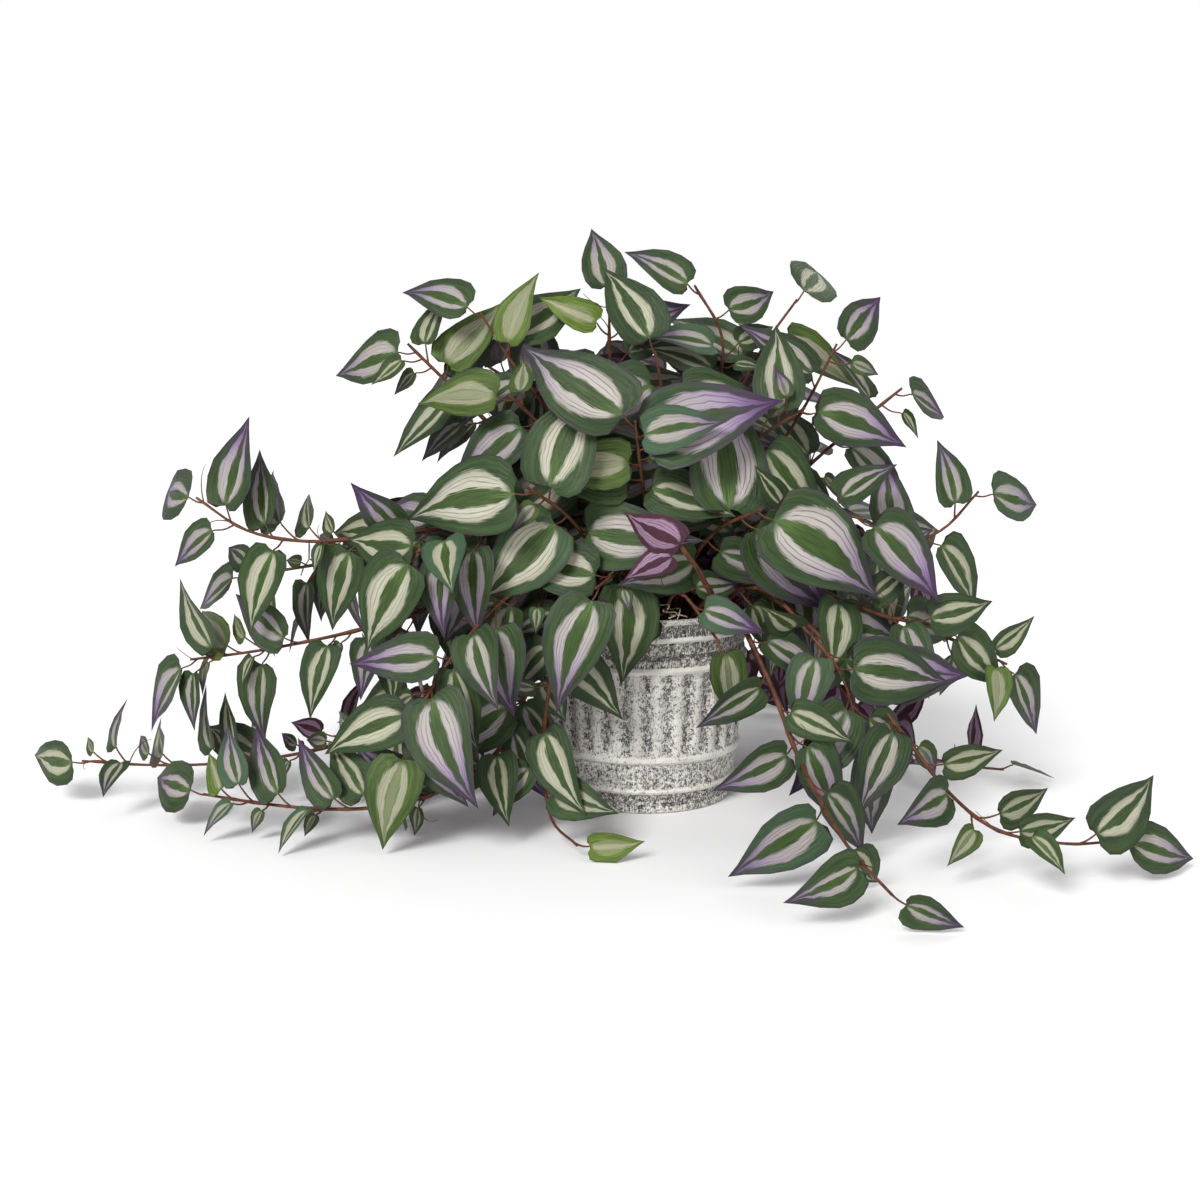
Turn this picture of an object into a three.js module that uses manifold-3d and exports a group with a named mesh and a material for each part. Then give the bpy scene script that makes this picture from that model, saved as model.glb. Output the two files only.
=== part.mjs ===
// A potted tradescantia: leafy stems rise and trail from soil in a fluted, whitewashed metal pot.
// Millimetres, +Z up. The origin is the centre of the pot's underside, and -Y is the front.
import * as THREE from "three";
import { mergeVertices } from "three/addons/utils/BufferGeometryUtils.js";
import Module from "manifold-3d";

const wasm = await Module();
wasm.setup();

// The pot.
const potHeight = 120;
const rimRadius = 66.5;
const shoulderRadius = 62.5;
const waistRadius = 59;
const footRadius = 53.5;
const potWall = 2.2;
const potFloor = 4;
const footBandTop = 14;
const lowerBeadHeight = 33.5;
const fluteFoot = 36;
const fluteTop = 86;
const upperBeadHeight = 88.5;
const rimBandFoot = 107.5;
const beadRise = 1.3;
const beadHalfHeight = 2.4;
const footRingHeight = 4;
const footFlare = 1.2;
const waistInset = 0.8;
const bandFlare = 0.6;
const rimRound = 1.4;
const rimLip = 2.2;
const rimLipRound = 0.8;
const fluteCount = 30;
const fluteDepth = 1.5;

// The soil, and the plain holes that the stems stand in.
const soilTop = 103;
const soilMound = 5;
const moundRing = 0.5;
const soilRoughness = 1.2;
const soilSides = 12;
const seatGap = 0.3;
const rootDepth = 72;
const stemLeavesSoil = 106;
const rootLean = 1.04;
const holeClearance = 0.5;

// The stems.
const stemRadius = 1.5;
const stemSides = 3;
const stemStep = 37;
const stemTipShare = 0.09;
const bareStem = 62;
const mostBareShare = 0.42;

// A leaf: how it grows from its stem. Lengths are in millimetres and angles in radians.
const stalkLength = 11;
const stalkHalfWidth = 0.8;
const stalkHeight = 0.9;
const stalkRoot = { halfWidth: 0.5, above: 0.55, below: -0.3 };
const stalkForward = 0.6;
const tipStalkForward = 0.9;
const stalkLift = 0.55;
const notchDepth = 1.2;
const bladeHalfThickness = 0.45;
const foldSlope = 0.22;
const arch = { least: 0.056, range: 0.168 };
const sizeRange = { least: 0.9, range: 0.2 };
const swing = { least: 0.6, range: 0.7, perAttempt: 0.03, atTip: 0.2 };
const droop = { least: 0.15, range: 0.5 };
const facingWander = { least: 0.7, perAttempt: 0.07 };
const spacingWander = 0.35;
const outwardRise = 0.5;
const upwardTurn = 0.25;
const lowHeight = 45;
const lowUpwardTurn = 0.3;
const smallBlade = 76;

// How a leaf finds a clear place: later attempts wander further and shrink.
const mostAttempts = 34;
const shrinkPerAttempt = 0.975;
const floorClearance = 0.4;
const testHalfThickness = 1.1;
const testStretch = 1.04;
const testedStalk = 0.8;
const testedTipStalk = 0.5;
const envelopeClearance = 1;
const envelopeSides = 24;

// Joined solids lose detail finer than this, and no facet may be thinner than this.
const finestDetail = 0.02;
const thinnestFacet = 0.008;

// Half of a heart-shaped blade, from the stalk round the lobe to the tip: [along, across] as shares.
const largeHalf = [[-0.06, 0.2], [0.22, 0.32], [0.6, 0.2]];
const smallHalf = [[-0.04, 0.23], [0.4, 0.29]];
const largeRib = [0.26, 0.62];
const smallRib = [0.38];

const up = new THREE.Vector3(0, 0, 1);
const front = new THREE.Vector3(0, -1, 0);
const dome = new THREE.Vector3(0, 0, 70);

// Each stem: where its root stands, the points that it runs through after the soil, how many
// leaves it has, its largest and smallest blade, and how far its blades turn to the front.
const trailingStems = [
  { name: "trailing_stem_left_long", root: [-46, 4], leaves: 12, blades: [64, 46], front: 0.9,
    route: [[-66, -6, 131], [-108, -18, 84], [-152, -26, 50], [-200, -32, 34], [-250, -36, 27],
      [-300, -38, 26], [-342, -36, 28]] },
  { name: "trailing_stem_left_front", root: [-38, -27], leaves: 12, blades: [62, 46], front: 0.9,
    route: [[-52, -52, 134], [-68, -74, 88], [-82, -84, 52], [-107, -96, 32], [-144, -115, 24],
      [-184, -112, 21], [-224, -97, 20], [-258, -80, 20]] },
  { name: "trailing_stem_front_left", root: [-24, -42], leaves: 9, blades: [52, 44], front: 0.9,
    route: [[-38, -62, 140], [-54, -86, 96], [-60, -92, 50], [-58, -98, 20], [-50, -118, 9],
      [-40, -138, 8]] },
  { name: "trailing_stem_right_front", root: [22, -42], leaves: 11, blades: [66, 48], front: 0.9,
    route: [[40, -62, 136], [62, -104, 104], [78, -140, 62], [90, -185, 40], [101, -218, 26],
      [113, -244, 18]] },
  { name: "trailing_stem_right_long", root: [42, -20], leaves: 12, blades: [66, 48], front: 0.9,
    route: [[62, -44, 137], [106, -92, 106], [146, -130, 58], [164, -165, 38], [186, -190, 29],
      [218, -184, 24], [243, -168, 20]] },
];

const spreadingStems = [
  { name: "spreading_stem_left_high", root: [-28, -8], leaves: 11, blades: [72, 50], front: 1.0,
    route: [[-62, -30, 170], [-125, -60, 172], [-190, -65, 166], [-232, -60, 172], [-262, -52, 190]] },
  { name: "spreading_stem_left_middle", root: [-36, 8], leaves: 10, blades: [66, 48], front: 0.9,
    route: [[-80, -14, 162], [-140, -26, 158], [-200, -30, 147], [-242, -24, 140]] },
  { name: "spreading_stem_left_low", root: [-40, -10], leaves: 11, blades: [68, 50], front: 0.95,
    route: [[-80, -34, 140], [-135, -56, 122], [-190, -58, 108], [-240, -48, 97], [-272, -42, 92]] },
  { name: "spreading_stem_left_drape", root: [-30, -36], leaves: 9, blades: [88, 60], front: 1.1,
    route: [[-60, -70, 144], [-96, -98, 122], [-122, -112, 88], [-136, -116, 54]] },
  { name: "spreading_stem_right_high", root: [34, -4], leaves: 10, blades: [68, 50], front: 0.9,
    route: [[72, -26, 156], [116, -46, 157], [156, -48, 163], [184, -42, 177], [196, -36, 192]] },
  { name: "spreading_stem_right_middle", root: [34, -16], leaves: 10, blades: [66, 48], front: 0.95,
    route: [[70, -46, 148], [108, -68, 134], [144, -76, 122], [174, -72, 117]] },
  { name: "spreading_stem_right_low", root: [44, -4], leaves: 10, blades: [64, 46], front: 0.9,
    route: [[84, -18, 138], [126, -30, 126], [164, -46, 112], [196, -54, 100], [212, -56, 92]] },
  { name: "spreading_stem_right_drape", root: [32, -34], leaves: 9, blades: [86, 58], front: 1.1,
    route: [[56, -60, 142], [84, -92, 124], [108, -112, 94], [116, -120, 64]] },
  { name: "spreading_stem_front_short", root: [8, -46], leaves: 4, blades: [58, 44], front: 1.0,
    route: [[14, -66, 138], [26, -84, 128], [40, -94, 112]] },
];

const crownStems = [
  { name: "crown_stem_front_left", root: [-14, -22], leaves: 7, blades: [92, 76], front: 1.3,
    route: [[-32, -52, 160], [-54, -80, 190], [-68, -94, 200]] },
  { name: "crown_stem_front_middle", root: [0, -26], leaves: 7, blades: [92, 76], front: 1.3,
    route: [[0, -50, 170], [-5, -74, 212], [-8, -86, 236]] },
  { name: "crown_stem_front_right", root: [14, -24], leaves: 7, blades: [92, 76], front: 1.3,
    route: [[28, -54, 158], [48, -80, 180], [62, -94, 188]] },
  { name: "crown_stem_front_low", root: [-6, -40], leaves: 5, blades: [80, 64], front: 1.3,
    route: [[-12, -64, 148], [-20, -84, 152], [-30, -98, 144]] },
  { name: "crown_stem_left_shoulder", root: [-28, -20], leaves: 8, blades: [86, 61], front: 1.15,
    route: [[-64, -50, 164], [-102, -80, 172], [-130, -96, 164]] },
  { name: "crown_stem_right_shoulder", root: [26, -20], leaves: 8, blades: [84, 60], front: 1.1,
    route: [[60, -50, 172], [94, -76, 186], [120, -90, 182]] },
  { name: "crown_stem_upper_front", root: [5, -14], leaves: 8, blades: [80, 60], front: 1.1,
    route: [[5, -30, 200], [10, -44, 250], [4, -50, 274]] },
  { name: "crown_stem_upper_left", root: [-12, -12], leaves: 8, blades: [78, 56], front: 1.05,
    route: [[-36, -34, 196], [-62, -50, 232], [-80, -58, 250]] },
  { name: "crown_stem_upper_right", root: [18, -13], leaves: 8, blades: [78, 56], front: 1.1,
    route: [[42, -36, 196], [70, -50, 228], [90, -56, 242]] },
];

const uprightStems = [
  { name: "upright_stem_left", root: [-20, 4], leaves: 9, blades: [70, 48], front: 0.9,
    route: [[-52, 0, 188], [-92, -8, 228], [-124, -12, 260], [-142, -14, 278]] },
  { name: "upright_stem_left_inner", root: [-9, -3], leaves: 9, blades: [66, 54], front: 1.0,
    route: [[-28, -10, 190], [-62, -18, 244], [-88, -20, 278], [-98, -20, 296]] },
  { name: "upright_stem_top", root: [-2, 4], leaves: 9, blades: [62, 42], front: 1.0,
    route: [[-8, -2, 186], [-18, -8, 250], [-25, -10, 286], [-22, -14, 304]] },
  { name: "upright_stem_top_right", root: [5, -3], leaves: 9, blades: [64, 44], front: 1.05,
    route: [[20, -8, 190], [44, -14, 256], [42, -18, 294], [28, -20, 312]] },
  { name: "upright_stem_right_inner", root: [13, 4], leaves: 9, blades: [70, 54], front: 1.0,
    route: [[34, 2, 190], [60, -2, 256], [82, -6, 294], [90, -8, 304]] },
  { name: "upright_stem_right", root: [23, -6], leaves: 8, blades: [68, 46], front: 0.9,
    route: [[56, -14, 178], [88, -22, 230], [104, -24, 262], [112, -24, 278]] },
  { name: "upright_stem_right_outer", root: [28, 6], leaves: 8, blades: [64, 42], front: 0.9,
    route: [[72, -4, 178], [110, -12, 214], [136, -16, 240], [152, -20, 252]] },
];

// The back and the sides follow a rule instead: stems at an angle from +X, out to a reach.
const backTrails = { rootRadius: 43, leaves: 9, blades: [62, 38], startRadius: 67,
  heights: [133, 88, 38, 12, 8], angles: [14, 52, 92, 130, 163], reaches: [232, 250, 225, 248, 236],
  sways: [-10, 9, -8, 10, -9] };
const backSpreads = { rootRadius: 30, leaves: 8, blades: [72, 42], startRadius: 66,
  heights: [152, 168, 164, 148, 122], angles: [20, 46, 70, 94, 118, 142, 164],
  reaches: [205, 196, 190, 186, 190, 200, 208], sways: [6, -7, 7, -6, 6, -7, 6] };
const backUprights = { rootRadius: 16, leaves: 8, blades: [74, 48], startRadius: 36,
  heights: [176, 212, 238, 256, 268], angles: [30, 60, 88, 116, 148], reaches: [112, 96, 84, 100, 116],
  sways: [8, -8, 8, -8, 8] };

function backRoute(rule, number) {
  const reach = rule.reaches[number];
  const last = rule.heights.length - 1;
  return rule.heights.map((height, step) => {
    const along = step / last;
    const radius = rule.startRadius + (reach - rule.startRadius) * along;
    const angle = THREE.MathUtils.degToRad(rule.angles[number] + rule.sways[number] * along * along);
    return [radius * Math.cos(angle), radius * Math.sin(angle), height];
  });
}

function backStems(kind, rule) {
  return rule.angles.map((degrees, number) => {
    const angle = THREE.MathUtils.degToRad(degrees);
    return { name: `${kind}_stem_back_${number + 1}`, leaves: rule.leaves, blades: rule.blades, front: 0,
      root: [rule.rootRadius * Math.cos(angle), rule.rootRadius * Math.sin(angle)],
      route: backRoute(rule, number) };
  });
}

const stems = [...crownStems, ...uprightStems, ...spreadingStems, ...trailingStems,
  ...backStems("upright", backUprights), ...backStems("spreading", backSpreads),
  ...backStems("trailing", backTrails)];

// A number from 0 to 1 that depends only on the stem, the leaf, the attempt and the purpose.
// The large factors only scatter the bits.
function draw(stem, leaf, attempt, purpose) {
  let mixed = Math.imul(stem + 1, 73856093) ^ Math.imul(leaf + 1, 19349663);
  mixed ^= Math.imul(attempt + 1, 83492791) ^ Math.imul(purpose + 1, 40503019);
  mixed = Math.imul(mixed ^ (mixed >>> 15), 739177);
  mixed = Math.imul(mixed ^ (mixed >>> 13), 461845);
  return ((mixed ^ (mixed >>> 16)) >>> 0) / 2 ** 32;
}

// Turns a closed geometry into a solid: shared vertices are merged and flat triangles dropped.
function solidFrom(geometry) {
  geometry.deleteAttribute("normal");
  geometry.deleteAttribute("uv");
  const merged = mergeVertices(geometry, 1e-3);
  const index = merged.index.array;
  const kept = [];
  for (let i = 0; i < index.length; i += 3) {
    const [a, b, c] = [index[i], index[i + 1], index[i + 2]];
    if (a !== b && b !== c && c !== a) kept.push(a, b, c);
  }
  const vertProperties = new Float32Array(merged.attributes.position.array);
  const triVerts = new Uint32Array(kept);
  return new wasm.Manifold(new wasm.Mesh({ numProp: 3, vertProperties, triVerts }));
}

// The height of a solid's thinnest facet, over its longest edge.
function thinnest(solid) {
  const mesh = solid.getMesh();
  const corner = (i) => new THREE.Vector3().fromArray(mesh.vertProperties, 3 * mesh.triVerts[i]);
  let least = Infinity;
  for (let i = 0; i < mesh.triVerts.length; i += 3) {
    const [a, b, c] = [corner(i), corner(i + 1), corner(i + 2)];
    const longest = Math.max(a.distanceTo(b), b.distanceTo(c), c.distanceTo(a));
    const area = new THREE.Triangle(a, b, c).getArea();
    least = Math.min(least, 2 * area / longest);
  }
  return least;
}

function geometryFrom(solid) {
  const mesh = solid.getMesh();
  const geometry = new THREE.BufferGeometry();
  geometry.setAttribute("position", new THREE.BufferAttribute(mesh.vertProperties, 3));
  geometry.setIndex(new THREE.BufferAttribute(mesh.triVerts, 1));
  geometry.computeVertexNormals();
  return geometry;
}

// A solid of revolution about Z from [radius, height] points that start and end on the axis.
function turned(profile, sides) {
  const points = profile.map(([radius, height]) => new THREE.Vector2(radius, height));
  const geometry = new THREE.LatheGeometry(points, sides);
  geometry.rotateX(Math.PI / 2);
  return geometry;
}

// The outside of the pot, from the foot to the rim.
const potOutside = [
  [footRadius, 0],
  [footRadius, footRingHeight],
  [footRadius + footFlare + beadRise, footBandTop],
  [waistRadius - waistInset, lowerBeadHeight - beadHalfHeight],
  [waistRadius + beadRise, lowerBeadHeight],
  [waistRadius, fluteFoot],
  [shoulderRadius, fluteTop],
  [shoulderRadius + beadRise, upperBeadHeight],
  [shoulderRadius, upperBeadHeight + beadHalfHeight],
  [shoulderRadius + bandFlare, rimBandFoot - beadHalfHeight],
  [shoulderRadius + bandFlare + 2 * beadRise, rimBandFoot],
  [rimRadius - rimRound, rimBandFoot + beadHalfHeight],
  [rimRadius, potHeight - rimRound],
  [rimRadius - rimRound / 2, potHeight],
];

const potInside = [
  [rimRadius - rimLip - rimLipRound, potHeight],
  [shoulderRadius - potWall, rimBandFoot],
  [footRadius - potWall, potFloor],
];

function insideRadius(height) {
  for (let i = 1; i < potInside.length; i += 1) {
    const [upperRadius, upperHeight] = potInside[i - 1];
    const [lowerRadius, lowerHeight] = potInside[i];
    if (height >= lowerHeight) {
      const share = (height - lowerHeight) / (upperHeight - lowerHeight);
      return lowerRadius + (upperRadius - lowerRadius) * share;
    }
  }
  return footRadius - potWall;
}

function makePot() {
  const geometry = turned([[0, 0], ...potOutside, ...potInside, [0, potFloor]], 2 * fluteCount);
  const position = geometry.attributes.position;
  const sideAngle = Math.PI / fluteCount;
  for (let i = 0; i < position.count; i += 1) {
    const x = position.getX(i);
    const y = position.getY(i);
    const z = position.getZ(i);
    const radius = Math.hypot(x, y);
    const outside = radius > waistRadius - potWall / 2;
    const side = Math.round(Math.atan2(y, x) / sideAngle);
    if (outside && z > fluteFoot - 0.1 && z < fluteTop + 0.1 && Math.abs(side) % 2 === 1) {
      position.setXYZ(i, x * (1 - fluteDepth / radius), y * (1 - fluteDepth / radius), z);
    }
  }
  return solidFrom(geometry);
}

// A mound of soil. Its surface is raised and lowered a little by a formula.
function makeSoil() {
  const edge = insideRadius(soilTop) - seatGap;
  const foot = insideRadius(potFloor) - seatGap;
  const bottom = potFloor + seatGap;
  const shoulder = [edge * moundRing, soilTop + soilMound * (1 - moundRing ** 2)];
  const top = [0, soilTop + soilMound];
  const profile = [[0, bottom], [foot, bottom], [edge - seatGap, soilTop], shoulder, top];
  const geometry = turned(profile, soilSides);
  const position = geometry.attributes.position;
  for (let i = 0; i < position.count; i += 1) {
    const x = position.getX(i);
    const y = position.getY(i);
    const z = position.getZ(i);
    if (z > soilTop + 0.5 && Math.hypot(x, y) > 1) {
      position.setZ(i, z + soilRoughness * Math.sin(x * 0.55) * Math.cos(y * 0.47 + x * 0.13));
    }
  }
  return solidFrom(geometry);
}

// The curve that a stem follows: straight up through the soil, then along its route.
function stemCurve(stem, rootDrop) {
  const [x, y] = stem.root;
  const surface = [x * rootLean, y * rootLean, stemLeavesSoil];
  const points = [[x, y, rootDepth - rootDrop], surface, ...stem.route];
  return new THREE.CatmullRomCurve3(points.map((p) => new THREE.Vector3(...p)), false, "catmullrom", 0.5);
}

function stemSteps(stem) {
  return Math.round(stemCurve(stem, 0).getLength() / stemStep);
}

function tube(curve, steps, radius) {
  const corners = Array.from({ length: stemSides }, (_, i) => {
    const angle = 2 * Math.PI * i / stemSides;
    return new THREE.Vector2(radius * Math.cos(angle), radius * Math.sin(angle));
  });
  const section = new THREE.Shape(corners);
  return solidFrom(new THREE.ExtrudeGeometry(section, { steps, extrudePath: curve }));
}

// The place and direction on the stem's straight pieces at a share of its length.
function stemPlace(rings, share) {
  const pieces = rings.length - 1;
  const at = Math.min(share * pieces, pieces - stemTipShare);
  const ring = Math.floor(at);
  const place = new THREE.Vector3().lerpVectors(rings[ring], rings[ring + 1], at - ring);
  const direction = new THREE.Vector3().subVectors(rings[ring + 1], rings[ring]).normalize();
  return { place, direction };
}

// Where a leaf may sit. Blades stand to the left and right of the stem by turns, face away from
// the middle of the plant and droop a little, but low ones lie flatter on the surface.
function leafPose(stem, stemNumber, rings, leaf, attempt) {
  const chance = (purpose) => draw(stemNumber, leaf, attempt, purpose);
  const bareShare = Math.min(mostBareShare, bareStem / (stemStep * (rings.length - 1)));
  const along = (leaf + spacingWander * chance(0)) / (stem.leaves - 1 + spacingWander);
  const { place, direction } = stemPlace(rings, bareShare + (1 - bareShare) * along);
  const [largest, smallest] = stem.blades;
  const variation = (sizeRange.least + sizeRange.range * chance(1)) * shrinkPerAttempt ** attempt;
  const length = (largest + (smallest - largest) * along) * variation;
  const lowness = Math.max(0, 1 - place.z / lowHeight);
  const facing = new THREE.Vector3().subVectors(place, dome).normalize();
  facing.z = facing.z * outwardRise + upwardTurn + lowUpwardTurn * lowness;
  facing.addScaledVector(front, stem.front);
  const wander = facingWander.least + facingWander.perAttempt * attempt;
  facing.x += wander * (chance(2) - 0.5);
  facing.y += wander * (chance(3) - 0.5);
  facing.z += wander * (chance(4) - 0.5);
  facing.normalize();
  const isLast = leaf === stem.leaves - 1;
  const side = new THREE.Vector3().crossVectors(facing, direction).normalize();
  if (leaf % 2 === 1) side.negate();
  const sideSwing = swing.least + swing.range * chance(5) + swing.perAttempt * attempt * (chance(6) - 0.5);
  const turn = isLast ? swing.atTip * chance(5) : sideSwing;
  const hang = (droop.least + droop.range * chance(7)) * (1 - lowness);
  const tip = direction.clone().multiplyScalar(Math.cos(turn));
  tip.addScaledVector(side, Math.sin(turn)).addScaledVector(up, -hang);
  tip.addScaledVector(facing, -tip.dot(facing)).normalize();
  const across = new THREE.Vector3().crossVectors(facing, tip);
  const stalk = tip.clone().multiplyScalar(isLast ? tipStalkForward : stalkForward);
  stalk.addScaledVector(facing, stalkLift).normalize();
  const joint = place.clone().addScaledVector(stalk, stalkLength);
  const bend = arch.least + arch.range * chance(8);
  return { place, joint, tip, across, facing, length, bend, isLast };
}

// A blade with its stalk, as one closed mesh: a folded and arched heart, thick along its rib,
// with the stalk running back from the notch into the stem.
function leafGeometry(pose, halfThickness, stretch, rooted) {
  const isLarge = pose.length > smallBlade;
  const half = isLarge ? largeHalf : smallHalf;
  const rib = isLarge ? largeRib : smallRib;
  const blade = pose.length * stretch;
  const place = (along, across, lift) => new THREE.Vector3().copy(pose.joint)
    .addScaledVector(pose.tip, along).addScaledVector(pose.across, across)
    .addScaledVector(pose.facing, lift - pose.bend * Math.max(along, 0) ** 2 / blade);
  const margin = (along, across) => place(along, across, foldSlope * Math.abs(across));
  const points = [];
  const add = (point) => points.push(point) - 1;
  const notch = [1, -1].map((sign) => add(place(-notchDepth, sign * stalkHalfWidth, 0)));
  const edges = [1, -1].map((sign) => half.map(([u, v]) => add(margin(u * blade, sign * v * blade))));
  const tip = add(place(blade, 0, 0));
  const faces = [];
  const above = add(place(0, 0, stalkHeight));
  [1, -1].forEach((face) => {
    const spine = rib.map((u) => add(place(u * blade, 0, face * halfThickness)));
    [0, 1].forEach((sideNumber) => {
      const edge = edges[sideNumber];
      const flip = (face > 0) === (sideNumber === 0);
      const addFace = (a, b, c) => faces.push(...(flip ? [a, c, b] : [a, b, c]));
      const heel = face > 0 ? above : notch[sideNumber];
      if (face > 0) addFace(above, notch[sideNumber], edge[0]);
      addFace(heel, edge[0], spine[0]);
      for (let i = 0; i < rib.length; i += 1) {
        addFace(spine[i], edge[i], edge[i + 1]);
        addFace(spine[i], edge[i + 1], i + 1 < rib.length ? spine[i + 1] : tip);
      }
    });
    if (face < 0) faces.push(notch[0], spine[0], notch[1]);
  });
  addStalk(pose, rooted, points, faces, [above, ...notch]);
  const geometry = new THREE.BufferGeometry().setFromPoints(points);
  geometry.setIndex(faces);
  return geometry;
}

// The stalk is a three-sided bar from the blade's heel into the stem.
function addStalk(pose, rooted, points, faces, heel) {
  const back = new THREE.Vector3().subVectors(pose.place, pose.joint);
  if (!rooted) back.multiplyScalar(pose.isLast ? testedTipStalk : testedStalk);
  const end = pose.joint.clone().add(back);
  const add = (across, lift) => points.push(end.clone()
    .addScaledVector(pose.across, across).addScaledVector(pose.facing, lift)) - 1;
  const { halfWidth, above, below } = stalkRoot;
  const root = [add(0, above), add(halfWidth, below), add(-halfWidth, below)];
  for (let i = 0; i < 3; i += 1) {
    const next = (i + 1) % 3;
    faces.push(heel[i], heel[next], root[next], heel[i], root[next], root[i]);
  }
  faces.push(root[0], root[1], root[2]);
}

function boxesMeet(a, b) {
  return [0, 1, 2].every((i) => a.min[i] < b.max[i] && b.min[i] < a.max[i]);
}

// The pot and the soil as one plain obstacle that no blade may enter.
function makePotEnvelope() {
  const wide = potOutside.map(([radius, z]) => [radius + envelopeClearance, z + envelopeClearance]);
  const foot = [footRadius + envelopeClearance, envelopeClearance];
  const lip = [rimRadius - 2 * rimLip, potHeight + envelopeClearance];
  const inside = [insideRadius(soilTop), soilTop + envelopeClearance];
  const top = [0, soilTop + soilMound + 2 * envelopeClearance];
  const outline = [[0, envelopeClearance], foot, ...wide.slice(1), lip, inside, top];
  return solidFrom(turned(outline, envelopeSides));
}

function obstacle(solid) {
  return { solid, box: solid.boundingBox() };
}

// Grows every stem, then its leaves from the tips inwards, so that the tips are never bare.
function growPlant() {
  const obstacles = [obstacle(makePotEnvelope())];
  const plant = stems.map((stem) => {
    const curve = stemCurve(stem, 0);
    const steps = stemSteps(stem);
    obstacles.push(obstacle(tube(curve, steps, stemRadius + holeClearance)));
    return { stem, rings: curve.getSpacedPoints(steps), solid: tube(curve, steps, stemRadius) };
  });
  const mostLeaves = Math.max(...stems.map((stem) => stem.leaves));
  for (let leaf = mostLeaves - 1; leaf >= 0; leaf -= 1) {
    plant.forEach((entry, stemNumber) => {
      if (leaf < entry.stem.leaves) growLeaf(entry, stemNumber, leaf, obstacles);
    });
  }
  return plant;
}

// Adds the first attempt at a leaf that stands clear of all that is already there and that
// joins its stem cleanly, as one body without sliver facets.
function growLeaf(entry, stemNumber, leaf, obstacles) {
  for (let attempt = 0; attempt < mostAttempts; attempt += 1) {
    const pose = leafPose(entry.stem, stemNumber, entry.rings, leaf, attempt);
    const blade = obstacle(solidFrom(leafGeometry(pose, testHalfThickness, testStretch, false)));
    const isClear = blade.box.min[2] > floorClearance && obstacles.every((other) =>
      !boxesMeet(blade.box, other.box) || blade.solid.intersect(other.solid).isEmpty());
    if (!isClear) continue;
    const leafSolid = solidFrom(leafGeometry(pose, bladeHalfThickness, 1, true));
    const joined = entry.solid.add(leafSolid).simplify(finestDetail);
    if (joined.decompose().length > 1 || thinnest(joined) < thinnestFacet) continue;
    entry.solid = joined;
    obstacles.push(obstacle(leafSolid));
    return;
  }
}

function finish(colour, roughness, metalness) {
  return new THREE.MeshStandardMaterial({ color: colour, roughness, metalness, flatShading: true });
}

const whitewashedMetal = finish(0xb9b7b2, 0.75, 0.3);
const darkSoil = finish(0x2c211b, 1.0, 0.0);
const stripedLeaf = finish(0x4c6b4a, 0.55, 0.0);

function named(name, solid, material) {
  const mesh = new THREE.Mesh(geometryFrom(solid), material);
  mesh.name = name;
  return mesh;
}

const potted = new THREE.Group();
const foliage = new THREE.Group();
let soil = makeSoil();
growPlant().forEach(({ stem, solid }) => {
  const hole = tube(stemCurve(stem, seatGap), stemSteps(stem), stemRadius + holeClearance);
  soil = soil.subtract(hole).simplify(finestDetail);
  foliage.add(named(stem.name, solid, stripedLeaf));
});
potted.add(named("pot", makePot(), whitewashedMetal));
potted.add(named("potting_fill", soil, darkSoil));
potted.add(foliage);

export default potted;
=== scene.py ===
import math
import random
from functools import partial
from types import SimpleNamespace

import bpy
import bmesh
import numpy as np
from mathutils import Matrix, Vector


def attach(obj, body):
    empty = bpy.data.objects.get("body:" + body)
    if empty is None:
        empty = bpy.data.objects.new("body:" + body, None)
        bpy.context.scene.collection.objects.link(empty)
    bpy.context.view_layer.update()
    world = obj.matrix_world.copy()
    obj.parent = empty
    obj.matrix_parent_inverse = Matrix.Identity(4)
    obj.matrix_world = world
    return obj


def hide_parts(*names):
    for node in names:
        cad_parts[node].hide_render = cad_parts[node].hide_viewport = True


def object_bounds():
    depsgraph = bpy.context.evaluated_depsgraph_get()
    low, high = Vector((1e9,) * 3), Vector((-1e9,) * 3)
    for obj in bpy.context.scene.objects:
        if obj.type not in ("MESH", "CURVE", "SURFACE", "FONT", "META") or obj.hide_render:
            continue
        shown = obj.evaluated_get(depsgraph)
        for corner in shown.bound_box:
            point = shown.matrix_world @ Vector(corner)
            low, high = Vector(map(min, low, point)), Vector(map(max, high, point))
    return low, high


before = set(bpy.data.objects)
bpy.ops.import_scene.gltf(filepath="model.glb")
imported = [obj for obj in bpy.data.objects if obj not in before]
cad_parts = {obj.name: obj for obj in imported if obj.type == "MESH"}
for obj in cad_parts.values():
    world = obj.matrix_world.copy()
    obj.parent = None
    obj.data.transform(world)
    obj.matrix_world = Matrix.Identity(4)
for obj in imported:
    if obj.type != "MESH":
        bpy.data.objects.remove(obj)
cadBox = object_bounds()
mm = 0.001
boxLow, boxHigh = [np.array(corner) / mm for corner in cadBox]


# camera, floor and lights

viewSet = {
    "place": (-0.0275, -0.986, 0.286),
    "aim": (-0.0275, 0.0, 0.121),
    "lens": 48.4,
    "sensor": 36.0,
}


def lookAt(place, aim):
    return (Vector(aim) - Vector(place)).to_track_quat("-Z", "Y").to_euler()


bpy.ops.object.camera_add(location=viewSet["place"], rotation=lookAt(viewSet["place"], viewSet["aim"]))
camera = bpy.context.object
camera.data.lens = viewSet["lens"]
camera.data.sensor_width = viewSet["sensor"]
bpy.context.scene.camera = camera
bpy.context.scene.view_settings.view_transform = "Standard"

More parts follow.
